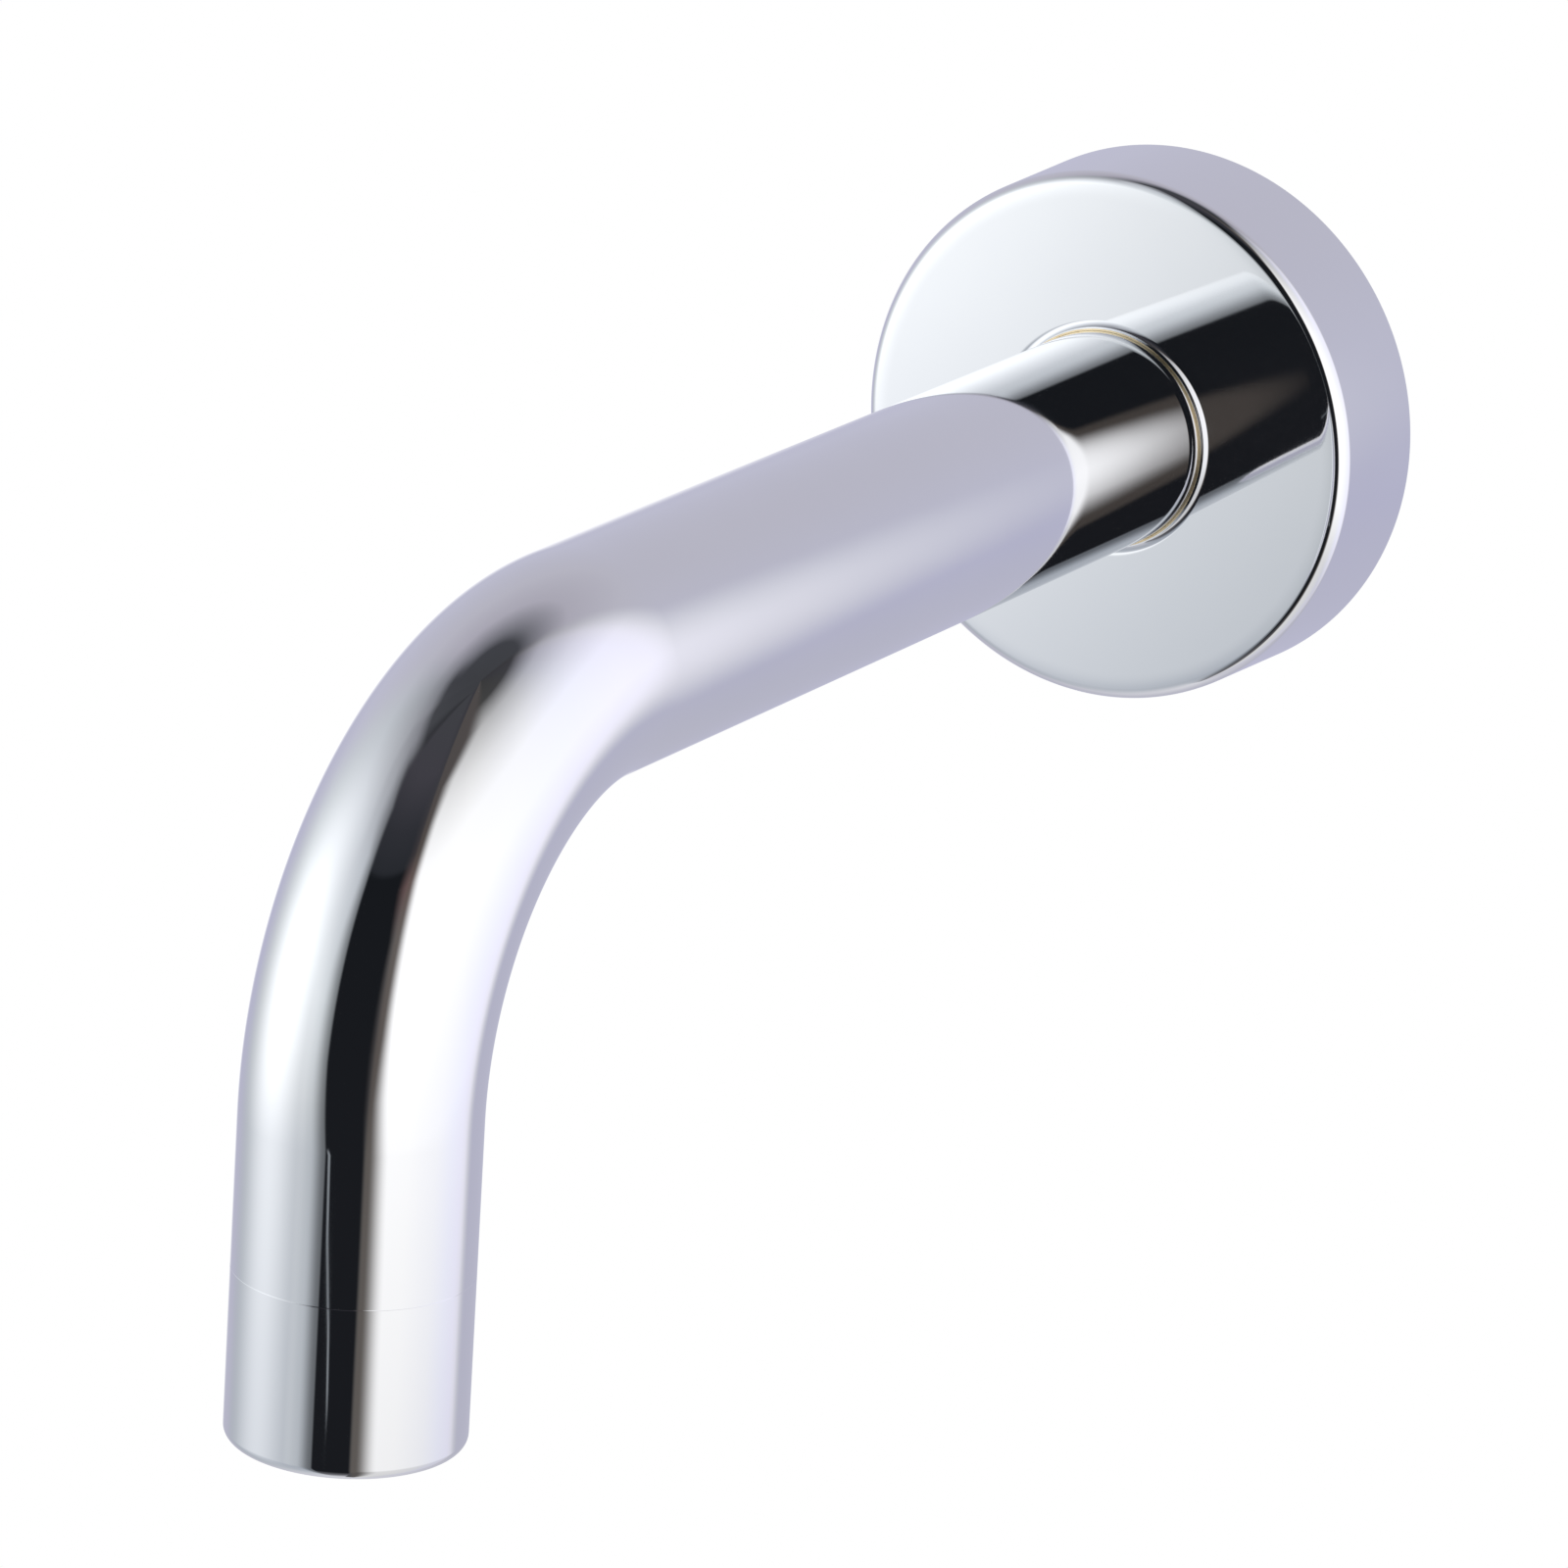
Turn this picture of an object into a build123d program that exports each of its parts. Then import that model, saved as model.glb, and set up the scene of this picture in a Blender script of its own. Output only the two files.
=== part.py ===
from build123d import *
import os

# Spout tube: a straight arm off the wall, one bend, and a short drop to the outlet.
TUBE_OD = 25.0
TUBE_WALL = 1.2
REACH = 173.5
DROP = 73.1
BEND_RADIUS = 38.5
BEND_ANGLE = 90.0
TUBE_INLET_CHAMFER = 0.6
SEAM_CHAMFER = 0.15

# Inlet socket: turned bush brazed into the wall end, bored to a half inch pipe thread's crests.
# Its mouth is bevelled over a share of the wall around the thread.
INLET_THREAD_WALL = 1.935
INLET_THREAD_DEPTH = 15.0
INLET_MOUTH_SHARE = 0.4
INLET_SHOULDER = 4.0
WATERWAY_STEP = 1.815
BRAZE_GAP = 0.05

# Wall flange: hollow cup with a little draft, a hub around the tube and a groove for its ring.
FLANGE_OD = 62.1
FLANGE_DRAFT = 0.35
FLANGE_DEPTH = 16.4
FLANGE_RIM_WALL = 1.6
FLANGE_FACE_WALL = 2.0
FLANGE_EDGE_ROUND = 1.4
FLANGE_INNER_ROUND = 1.5
FLANGE_HUB_WALL = 4.0
FLANGE_HUB_LENGTH = 8.0
FLANGE_HUB_CHAMFER = 0.6
FLANGE_TUBE_CLEARANCE = 0.3
FLANGE_MOUTH_ROUND = 0.8
RING_SECTION = 1.8
RING_FIT = 0.03
RING_GROOVE_SIDE_CLEARANCE = 0.25
RING_DEPTH = 4.6

# Aerator housing: screwed cup of the tube's diameter below the parting line.
HOUSING_HEIGHT = 18.4
HOUSING_EDGE_ROUND = 1.2
OUTLET_LIP_WIDTH = 3.5
OUTLET_LIP = 1.4
OUTLET_LIP_CHAMFER = 0.3
HOUSING_CHAMBER_WALL = 2.8
HOUSING_THREAD_WALL = 1.775

# Outlet spigot: turned bush brazed into the outlet end, turned to the aerator thread's mean size.
AERATOR_THREAD_GAP = 0.05
AERATOR_THREAD_CHAMFER = 0.5
AERATOR_THREAD_LENGTH = 7.7
SPIGOT_WALL = 1.975
SPIGOT_INSERTION = 9.0

# Aerator cartridge: flanged cage hung on the housing's shoulder, with the outlet grid at its foot.
CARTRIDGE_FLANGE = 2.0
CARTRIDGE_FLANGE_CLEARANCE = 0.1
CARTRIDGE_RECESS = 0.6
CARTRIDGE_WALL = 1.1
AIR_GAP = 0.5
AIR_SLOTS = 8
AIR_SLOT_WIDTH = 2.6
AIR_SLOT_HEIGHT = 1.8
GRID_HEIGHT = 2.2
GRID_CELL = 0.85
GRID_BAR = 0.4
GRID_RINGS = 7

# Jet plate, inlet screen and washer: stacked on the cartridge under the spigot.
JET_PLATE_HEIGHT = 1.4
JET_PLATE_CLEARANCE = 0.1
JET_SEAT_STEP = 0.2
JET_HOLE = 1.1
JET_RING_STEP = 2.0
JET_INNER_HOLES = 8
JET_RING_MARGIN = 1.4
JET_OUTER_HOLES = 12
SCREEN_CLEARANCE = 0.4
SCREEN_RIM = 0.8
SCREEN_RIM_WALL = 1.0
SCREEN_RISE = 2.2
SCREEN_WALL = 0.6
SCREEN_HOLE = 1.1
SCREEN_RINGS = 3
SCREEN_RING_MARGIN = 1.4
SCREEN_RING_HOLES = 6
WASHER_HEIGHT = 1.8
WASHER_WIDTH = 2.125
WASHER_CLEARANCE = 0.1

# Levels above the outlet face, and the sizes that follow from the fits.
TUBE_BORE = TUBE_OD - 2 * TUBE_WALL
ARM_LENGTH = REACH - BEND_RADIUS
DROP_LENGTH = DROP - BEND_RADIUS - HOUSING_HEIGHT
INSERT_OD = TUBE_BORE - 2 * BRAZE_GAP
INLET_THREAD_BORE = INSERT_OD - 2 * INLET_THREAD_WALL
INLET_MOUTH_CHAMFER = INLET_MOUTH_SHARE * INLET_THREAD_WALL
WATERWAY_BORE = INLET_THREAD_BORE - 2 * WATERWAY_STEP
SOCKET_LENGTH = INLET_THREAD_DEPTH + INLET_SHOULDER
FLANGE_BORE = TUBE_OD + 2 * FLANGE_TUBE_CLEARANCE
HUB_OD = FLANGE_BORE + 2 * FLANGE_HUB_WALL
RING_MIDDLE = TUBE_OD / 2 + RING_FIT + RING_SECTION / 2
RING_GROOVE_RADIUS = RING_MIDDLE + RING_SECTION / 2 + RING_FIT
RING_GROOVE_WIDTH = RING_SECTION + 2 * RING_GROOVE_SIDE_CLEARANCE
RING_LEVEL = RING_DEPTH - FLANGE_DEPTH
HOUSING_THREAD_BORE = TUBE_OD - 2 * HOUSING_THREAD_WALL
CHAMBER_BORE = TUBE_OD - 2 * HOUSING_CHAMBER_WALL
OUTLET_OPENING = TUBE_OD - 2 * OUTLET_LIP_WIDTH
AERATOR_THREAD_OD = HOUSING_THREAD_BORE - 2 * AERATOR_THREAD_GAP
SPIGOT_BORE = AERATOR_THREAD_OD - 2 * SPIGOT_WALL
CARTRIDGE_OD = OUTLET_OPENING - 2 * AIR_GAP
CARTRIDGE_BORE = CARTRIDGE_OD - 2 * CARTRIDGE_WALL
CARTRIDGE_FLANGE_OD = HOUSING_THREAD_BORE - 2 * CARTRIDGE_FLANGE_CLEARANCE
SPIGOT_FOOT = HOUSING_HEIGHT - AERATOR_THREAD_LENGTH
CARTRIDGE_TOP = SPIGOT_FOOT - WASHER_HEIGHT
SHOULDER_HEIGHT = CARTRIDGE_TOP - CARTRIDGE_FLANGE
JET_PLATE_OD = CARTRIDGE_OD - 2 * JET_SEAT_STEP
JET_SEAT_OD = JET_PLATE_OD + 2 * JET_PLATE_CLEARANCE
JET_OUTER_RING = CARTRIDGE_BORE / 2 - JET_RING_MARGIN
JET_INNER_RING = JET_OUTER_RING - JET_RING_STEP
JET_SEAT_LEVEL = CARTRIDGE_TOP - JET_PLATE_HEIGHT
GRID_TOP = CARTRIDGE_RECESS + GRID_HEIGHT
AIR_SLOT_MIDDLE = (GRID_TOP + SHOULDER_HEIGHT) / 2
SPIGOT_TOP = HOUSING_HEIGHT + SPIGOT_INSERTION
WASHER_OD = HOUSING_THREAD_BORE - 2 * WASHER_CLEARANCE
WASHER_BORE = WASHER_OD - 2 * WASHER_WIDTH
SCREEN_OD = WASHER_BORE - 2 * SCREEN_CLEARANCE
SCREEN_SPRING = CARTRIDGE_TOP + SCREEN_RIM
SCREEN_CROWN = SCREEN_SPRING + SCREEN_RISE
SCREEN_RADIUS = (SCREEN_OD**2 / 4 + SCREEN_RISE**2) / (2 * SCREEN_RISE)
SCREEN_RIM_BORE = SCREEN_OD - 2 * SCREEN_RIM_WALL
SCREEN_RING_STEP = (SCREEN_RIM_BORE / 2 - SCREEN_RING_MARGIN) / SCREEN_RINGS

# The wall is the XZ plane and the inlet's axis is Y. Outlet pieces turn about the outlet's axis.
outlet_face = Plane(origin=(0, -REACH, -DROP), x_dir=(1, 0, 0), z_dir=(0, 0, 1))
outlet_section = Plane(origin=(0, -REACH, -DROP), x_dir=(1, 0, 0), z_dir=(0, -1, 0))
outlet_axis = Axis((0, -REACH, -DROP), (0, 0, 1))
bend_axis = Axis((0, -ARM_LENGTH, -BEND_RADIUS), (1, 0, 0))

os.makedirs("parts", exist_ok=True)

with BuildPart() as spout_tube:
    with BuildSketch(Plane.XZ):
        Circle(TUBE_OD / 2)
        Circle(TUBE_BORE / 2, mode=Mode.SUBTRACT)
    extrude(amount=ARM_LENGTH)
    with BuildSketch(Plane.XZ.offset(ARM_LENGTH)):
        Circle(TUBE_OD / 2)
        Circle(TUBE_BORE / 2, mode=Mode.SUBTRACT)
    revolve(axis=bend_axis, revolution_arc=BEND_ANGLE)
    with BuildSketch(outlet_face.offset(HOUSING_HEIGHT)):
        Circle(TUBE_OD / 2)
        Circle(TUBE_BORE / 2, mode=Mode.SUBTRACT)
    extrude(amount=DROP_LENGTH)
    inlet_rim = spout_tube.edges().group_by(Axis.Y)[-1].sort_by(SortBy.LENGTH)[-1]
    chamfer(inlet_rim, length=TUBE_INLET_CHAMFER)
    outlet_rim = spout_tube.edges().group_by(Axis.Z)[0].sort_by(SortBy.LENGTH)[-1]
    chamfer(outlet_rim, length=SEAM_CHAMFER)

with BuildPart() as inlet_socket:
    with BuildSketch(Plane.XZ):
        Circle(INSERT_OD / 2)
    extrude(amount=SOCKET_LENGTH)
    with Locations(inlet_socket.faces().sort_by(Axis.Y)[-1]):
        CounterBoreHole(WATERWAY_BORE / 2, INLET_THREAD_BORE / 2, INLET_THREAD_DEPTH)
    mouth = inlet_socket.edges().group_by(Axis.Y)[-1].sort_by(SortBy.LENGTH)[0]
    chamfer(mouth, length=INLET_MOUTH_CHAMFER)

with BuildPart() as wall_flange:
    with BuildSketch(Plane.XY):
        with BuildLine():
            Polyline(
                (FLANGE_OD / 2, 0),
                (FLANGE_OD / 2 - FLANGE_DRAFT, -FLANGE_DEPTH),
                (FLANGE_BORE / 2, -FLANGE_DEPTH),
                (FLANGE_BORE / 2, FLANGE_HUB_LENGTH - FLANGE_DEPTH),
                (HUB_OD / 2, FLANGE_HUB_LENGTH - FLANGE_DEPTH),
                (HUB_OD / 2, FLANGE_FACE_WALL - FLANGE_DEPTH),
                (FLANGE_OD / 2 - FLANGE_DRAFT - FLANGE_RIM_WALL, FLANGE_FACE_WALL - FLANGE_DEPTH),
                (FLANGE_OD / 2 - FLANGE_RIM_WALL, 0),
                close=True,
            )
        make_face()
    revolve(axis=Axis.Y)
    front_edges = wall_flange.edges().group_by(Axis.Y)[0].sort_by(SortBy.LENGTH)
    fillet(front_edges[-1], radius=FLANGE_EDGE_ROUND)
    fillet(front_edges[0], radius=FLANGE_MOUTH_ROUND)
    floor_level = FLANGE_FACE_WALL - FLANGE_DEPTH
    floor_edges = wall_flange.edges().filter_by_position(Axis.Y, floor_level, floor_level)
    fillet(floor_edges, radius=FLANGE_INNER_ROUND)
    hub_level = FLANGE_HUB_LENGTH - FLANGE_DEPTH
    hub_edges = wall_flange.edges().filter_by_position(Axis.Y, hub_level, hub_level)
    chamfer(hub_edges, length=FLANGE_HUB_CHAMFER)
    with BuildSketch(Plane.XY):
        with Locations(((TUBE_OD / 2 + RING_GROOVE_RADIUS) / 2, RING_LEVEL)):
            Rectangle(RING_GROOVE_RADIUS - TUBE_OD / 2, RING_GROOVE_WIDTH)
    revolve(axis=Axis.Y, mode=Mode.SUBTRACT)

with BuildPart() as flange_o_ring:
    with BuildSketch(Plane.XY):
        with Locations((RING_MIDDLE, RING_LEVEL)):
            Circle(RING_SECTION / 2)
    revolve(axis=Axis.Y)

with BuildPart() as outlet_spigot:
    with BuildSketch(outlet_section):
        with BuildLine():
            Polyline(
                (SPIGOT_BORE / 2, SPIGOT_FOOT),
                (AERATOR_THREAD_OD / 2, SPIGOT_FOOT),
                (AERATOR_THREAD_OD / 2, HOUSING_HEIGHT),
                (INSERT_OD / 2, HOUSING_HEIGHT),
                (INSERT_OD / 2, SPIGOT_TOP),
                (SPIGOT_BORE / 2, SPIGOT_TOP),
                close=True,
            )
        make_face()
    revolve(axis=outlet_axis)
    thread_start = outlet_spigot.edges().group_by(Axis.Z)[0].sort_by(SortBy.LENGTH)[-1]
    chamfer(thread_start, length=AERATOR_THREAD_CHAMFER)

with BuildPart() as aerator_housing:
    with BuildSketch(outlet_section):
        with BuildLine():
            Polyline(
                (OUTLET_OPENING / 2, 0),
                (TUBE_OD / 2, 0),
                (TUBE_OD / 2, HOUSING_HEIGHT),
                (HOUSING_THREAD_BORE / 2, HOUSING_HEIGHT),
                (HOUSING_THREAD_BORE / 2, SHOULDER_HEIGHT),
                (CHAMBER_BORE / 2, SHOULDER_HEIGHT),
                (CHAMBER_BORE / 2, OUTLET_LIP),
                (OUTLET_OPENING / 2, OUTLET_LIP),
                close=True,
            )
        make_face()
    revolve(axis=outlet_axis)
    seam_edge = aerator_housing.edges().group_by(Axis.Z)[-1].sort_by(SortBy.LENGTH)[-1]
    chamfer(seam_edge, length=SEAM_CHAMFER)
    foot_edges = aerator_housing.edges().group_by(Axis.Z)[0].sort_by(SortBy.LENGTH)
    fillet(foot_edges[-1], radius=HOUSING_EDGE_ROUND)
    chamfer(foot_edges[0], length=OUTLET_LIP_CHAMFER)

with BuildPart() as aerator_cartridge:
    with BuildSketch(outlet_section):
        with BuildLine():
            Polyline(
                (0, CARTRIDGE_RECESS),
                (CARTRIDGE_OD / 2, CARTRIDGE_RECESS),
                (CARTRIDGE_OD / 2, SHOULDER_HEIGHT),
                (CARTRIDGE_FLANGE_OD / 2, SHOULDER_HEIGHT),
                (CARTRIDGE_FLANGE_OD / 2, CARTRIDGE_TOP),
                (JET_SEAT_OD / 2, CARTRIDGE_TOP),
                (JET_SEAT_OD / 2, JET_SEAT_LEVEL),
                (CARTRIDGE_BORE / 2, JET_SEAT_LEVEL),
                (CARTRIDGE_BORE / 2, GRID_TOP),
                (0, GRID_TOP),
                close=True,
            )
        make_face()
    revolve(axis=outlet_axis)
    with BuildSketch(outlet_face.offset(GRID_TOP)):
        with HexLocations(GRID_CELL + GRID_BAR / 2, GRID_RINGS, GRID_RINGS):
            RegularPolygon(GRID_CELL, 6, major_radius=False)
        Circle(CARTRIDGE_BORE / 2, mode=Mode.INTERSECT)
    extrude(amount=-GRID_HEIGHT, mode=Mode.SUBTRACT)
    with BuildSketch(outlet_face.offset(AIR_SLOT_MIDDLE)):
        with PolarLocations((CARTRIDGE_OD + CARTRIDGE_BORE) / 4, AIR_SLOTS):
            Rectangle(2 * CARTRIDGE_WALL, AIR_SLOT_WIDTH)
    extrude(amount=AIR_SLOT_HEIGHT / 2, both=True, mode=Mode.SUBTRACT)

with BuildPart() as aerator_jet_plate:
    with BuildSketch(outlet_face.offset(JET_SEAT_LEVEL)):
        Circle(JET_PLATE_OD / 2)
        with PolarLocations(JET_INNER_RING, JET_INNER_HOLES):
            Circle(JET_HOLE / 2, mode=Mode.SUBTRACT)
        with PolarLocations(JET_OUTER_RING, JET_OUTER_HOLES):
            Circle(JET_HOLE / 2, mode=Mode.SUBTRACT)
    extrude(amount=JET_PLATE_HEIGHT)

with BuildPart() as aerator_screen:
    with BuildSketch(outlet_section):
        with Locations((0, SCREEN_CROWN - SCREEN_RADIUS)):
            Circle(SCREEN_RADIUS)
            Circle(SCREEN_RADIUS - SCREEN_WALL, mode=Mode.SUBTRACT)
        with Locations((0, SCREEN_SPRING)):
            Rectangle(SCREEN_OD / 2, SCREEN_RISE, align=Align.MIN, mode=Mode.INTERSECT)
        with Locations((SCREEN_RIM_BORE / 2, CARTRIDGE_TOP)):
            Rectangle(SCREEN_RIM_WALL, SCREEN_RIM, align=Align.MIN)
    revolve(axis=outlet_axis)
    with BuildSketch(outlet_face.offset(SCREEN_CROWN)):
        Circle(SCREEN_HOLE / 2)
        for ring in range(1, SCREEN_RINGS + 1):
            with PolarLocations(ring * SCREEN_RING_STEP, ring * SCREEN_RING_HOLES):
                Circle(SCREEN_HOLE / 2)
    extrude(amount=-SCREEN_RISE - SCREEN_RIM, mode=Mode.SUBTRACT)

with BuildPart() as aerator_washer:
    with BuildSketch(outlet_face.offset(CARTRIDGE_TOP)):
        Circle(WASHER_OD / 2)
        Circle(WASHER_BORE / 2, mode=Mode.SUBTRACT)
    extrude(amount=WASHER_HEIGHT)

spout_tube.part.label = "spout_tube"
export_step(spout_tube.part, "parts/spout_tube.step")

inlet_socket.part.label = "inlet_socket"
export_step(inlet_socket.part, "parts/inlet_socket.step")

wall_flange.part.label = "wall_flange"
export_step(wall_flange.part, "parts/wall_flange.step")

flange_o_ring.part.label = "flange_o_ring"
export_step(flange_o_ring.part, "parts/flange_o_ring.step")

outlet_spigot.part.label = "outlet_spigot"
export_step(outlet_spigot.part, "parts/outlet_spigot.step")

aerator_housing.part.label = "aerator_housing"
export_step(aerator_housing.part, "parts/aerator_housing.step")

aerator_cartridge.part.label = "aerator_cartridge"
export_step(aerator_cartridge.part, "parts/aerator_cartridge.step")

aerator_jet_plate.part.label = "aerator_jet_plate"
export_step(aerator_jet_plate.part, "parts/aerator_jet_plate.step")

aerator_screen.part.label = "aerator_screen"
export_step(aerator_screen.part, "parts/aerator_screen.step")

aerator_washer.part.label = "aerator_washer"
export_step(aerator_washer.part, "parts/aerator_washer.step")
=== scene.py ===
import logging
import math
from dataclasses import dataclass
from enum import Enum, IntEnum
from typing import Any, Protocol, Sequence

import bpy
import numpy as np
from bpy.types import ColorRamp, Material, Mesh, Node, NodeSocket, NodeTree, Object
from mathutils import Matrix, Vector


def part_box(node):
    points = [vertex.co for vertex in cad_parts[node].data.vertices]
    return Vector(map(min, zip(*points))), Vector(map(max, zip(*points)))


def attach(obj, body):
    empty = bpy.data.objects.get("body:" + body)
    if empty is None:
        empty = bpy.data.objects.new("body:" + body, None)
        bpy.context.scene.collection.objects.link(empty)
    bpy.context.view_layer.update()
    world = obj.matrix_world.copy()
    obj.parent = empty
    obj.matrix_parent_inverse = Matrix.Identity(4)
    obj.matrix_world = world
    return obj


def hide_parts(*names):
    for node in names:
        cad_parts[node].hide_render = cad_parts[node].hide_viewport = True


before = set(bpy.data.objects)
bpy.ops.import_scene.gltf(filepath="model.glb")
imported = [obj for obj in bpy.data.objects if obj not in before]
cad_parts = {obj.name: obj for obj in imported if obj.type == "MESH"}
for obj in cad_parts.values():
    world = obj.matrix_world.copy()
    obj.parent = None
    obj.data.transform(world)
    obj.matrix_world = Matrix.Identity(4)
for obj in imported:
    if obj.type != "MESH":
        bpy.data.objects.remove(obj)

MM = 0.001
SAME = 1e-7
Array = np.ndarray
Point = tuple[float, float, float]
Colour = tuple[float, float, float]
Tones = tuple[tuple[float, Colour], ...]
Sockets = dict[str | int, Any]
log = logging.getLogger("wall_spout")


# Shader writing


class Wire:
    """One node output that takes part in Python sums."""

    def __init__(self, web: "Web", socket: NodeSocket) -> None:
        """Keep the output and the tree it belongs to."""
        self.web = web
        self.socket = socket

    def __add__(self, other: "Wire | float") -> "Wire":
        """This plus other."""
        return self.web.math("ADD", self, other)

    def __sub__(self, other: "Wire | float") -> "Wire":
        """This less other."""
        return self.web.math("SUBTRACT", self, other)

    def __mul__(self, other: "Wire | float") -> "Wire":
        """This times other."""
        return self.web.math("MULTIPLY", self, other)

    def __truediv__(self, other: "Wire | float") -> "Wire":
        """This over other."""
        return self.web.math("DIVIDE", self, other)

    def __radd__(self, other: float) -> "Wire":
        """Other plus this."""
        return self.web.math("ADD", other, self)

    def __rsub__(self, other: float) -> "Wire":
        """Other less this."""
        return self.web.math("SUBTRACT", other, self)

    def __rmul__(self, other: float) -> "Wire":
        """Other times this."""
        return self.web.math("MULTIPLY", other, self)

    def __rtruediv__(self, other: float) -> "Wire":
        """Other over this."""
        return self.web.math("DIVIDE", other, self)

    def __neg__(self) -> "Wire":
        """This with its sign turned."""
        return self.web.math("MULTIPLY", self, -1.0)

    def most(self, other: "Wire | float") -> "Wire":
        """The larger of this and other."""
        return self.web.math("MAXIMUM", self, other)

    def rise(self, start: float, end: float, smooth: bool = True) -> "Wire":
        """Go from 0 to 1 as this goes from start to end.

        Args:
            start: value that gives 0.
            end: value that gives 1, which may be the smaller one.
            smooth: ease both ends.

        Returns:
            The step.
        """
        low, high = sorted((start, end))
        first, last = (0.0, 1.0) if end >= start else (1.0, 0.0)
        sockets = {"Value": self, "From Min": low, "From Max": high, "To Min": first, "To Max": last}
        way = "SMOOTHSTEP" if smooth else "LINEAR"
        return self.web.out("ShaderNodeMapRange", sockets, interpolation_type=way)


@dataclass(frozen=True)
class Clouds:
    """Cloudy noise: how big one cloud is in metres, its octaves, and how strong the small clouds are."""

    size: float
    detail: float = 2.0
    rough: float = 0.5


class Web:
    """A node tree written as expressions."""

    def __init__(self, tree: NodeTree) -> None:
        """Empty the tree and keep it."""
        self.tree = tree
        self.tree.nodes.clear()

    def node(self, kind: str, sockets: Sockets | None = None, **settings: Any) -> Node:
        """Add one node.

        Args:
            kind: the node's type.
            sockets: values or wires for the inputs, by name or number.
            settings: properties that are set first; stops fills a ramp with (place, colour) pairs.

        Returns:
            The node.
        """
        made = self.tree.nodes.new(kind)
        for name, value in settings.items():
            if name == "stops":
                self._fill(made.color_ramp, value)
            else:
                setattr(made, name, value)
        for key, value in (sockets or {}).items():
            if isinstance(value, Wire):
                self.tree.links.new(value.socket, made.inputs[key])
            else:
                made.inputs[key].default_value = value
        return made

    def out(self, kind: str, sockets: Sockets | None = None, output: str | int = 0, **settings: Any) -> Wire:
        """Add one node and give one of its outputs.

        Args:
            kind: the node's type.
            sockets: values or wires for the inputs.
            output: which output to give.
            settings: properties that are set first.

        Returns:
            The output as a wire.
        """
        return Wire(self, self.node(kind, sockets, **settings).outputs[output])

    def math(self, operation: str, *terms: "Wire | float") -> Wire:
        """Add one Math node and give its value."""
        return self.out("ShaderNodeMath", dict(enumerate(terms)), operation=operation)

    def blend(
        self, share: "Wire | float", low: "Wire | Colour", high: "Wire | Colour", way: str = "MIX"
    ) -> Wire:
        """Mix two colours.

        Args:
            share: 0 gives low, 1 gives high.
            low: first colour.
            high: second colour.
            way: the mix node's blend type.

        Returns:
            The mixed colour.
        """
        sockets = {0: share, 6: self._full(low), 7: self._full(high)}
        return self.out("ShaderNodeMix", sockets, 2, data_type="RGBA", blend_type=way, clamp_factor=False)

    def ramp(self, value: Wire, stops: Sequence[tuple[float, Colour]]) -> Wire:
        """Read a colour off a line of stops.

        Args:
            value: where to read.
            stops: (value, colour) pairs in rising order.

        Returns:
            The colour, straight between the stops.
        """
        low, high = stops[0][0], stops[-1][0]
        places = [((place - low) / (high - low), colour) for place, colour in stops]
        return self.out("ShaderNodeValToRGB", {0: value.rise(low, high, smooth=False)}, stops=places)

    def place(self) -> Wire:
        """The point on the piece, in the object's own metres."""
        return self.out("ShaderNodeTexCoord", output="Object")

    def split(self, vector: Wire) -> list[Wire]:
        """The three parts of a vector."""
        return [Wire(self, part) for part in self.node("ShaderNodeSeparateXYZ", {0: vector}).outputs]

    def noise(self, vector: Wire, clouds: Clouds) -> Wire:
        """Cloudy noise from 0 to 1."""
        return self.out("ShaderNodeTexNoise", {
            "Vector": vector,
            "Scale": 1.0 / clouds.size,
            "Detail": clouds.detail,
            "Roughness": clouds.rough,
        }, noise_dimensions="3D")

    def stretched(self, vector: Wire, scale: Point) -> Wire:
        """A vector with each part scaled."""
        return self.out("ShaderNodeVectorMath", {0: vector, 1: scale}, operation="MULTIPLY")

    def dent(self, height: Wire, strength: float, depth: float) -> Wire:
        """A normal bumped by a height from 0 to 1, where 1 stands for a depth in metres."""
        return self.out("ShaderNodeBump", {"Strength": strength, "Distance": depth, "Height": height})

    def glow(self, light: "Wire | Colour") -> Wire:
        """A shader that gives off light."""
        return self.out("ShaderNodeEmission", {"Color": self._full(light), "Strength": 1.0})

    def mix(self, share: Wire, first: Wire, second: Wire) -> Wire:
        """Mix two shaders: a share of 0 gives the first, 1 the second."""
        return self.out("ShaderNodeMixShader", {0: share, 1: first, 2: second})

    def dress(self, sockets: Sockets) -> None:
        """Finish with a principled shader that has these inputs."""
        self.finish(self.out("ShaderNodeBsdfPrincipled", sockets))

    def finish(self, surface: Wire, output: str = "ShaderNodeOutputMaterial") -> None:
        """Join a shader to the tree's output."""
        self.node(output, {"Surface": surface})

    @staticmethod
    def _full(colour: "Wire | Colour") -> "Wire | tuple[float, ...]":
        """A colour as a socket takes it, with an alpha of 1."""
        return colour if isinstance(colour, Wire) else (*colour, 1.0)

    @staticmethod
    def _fill(ramp: ColorRamp, stops: Sequence[tuple[float, Colour]]) -> None:
        """Put the stops into a ramp."""
        while len(ramp.elements) < len(stops):
            ramp.elements.new(0.5)
        for element, (place, colour) in zip(ramp.elements, stops):
            element.position = place
            element.color = (*colour, 1.0)


def new_material(name: str) -> tuple[Material, Web]:
    """Start a node material.

    Args:
        name: the finish's name.

    Returns:
        The material and its empty tree.
    """
    material = bpy.data.materials.new(name)
    material.use_nodes = True
    return material, Web(material.node_tree)


# Finishes


class Turning(Enum):
    """Which axis a turned piece went round on the lathe, as the stretch of its tool lines."""

    WALL = (0.03, 1.0, 0.03)
    OUTLET = (0.03, 0.03, 1.0)


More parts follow.
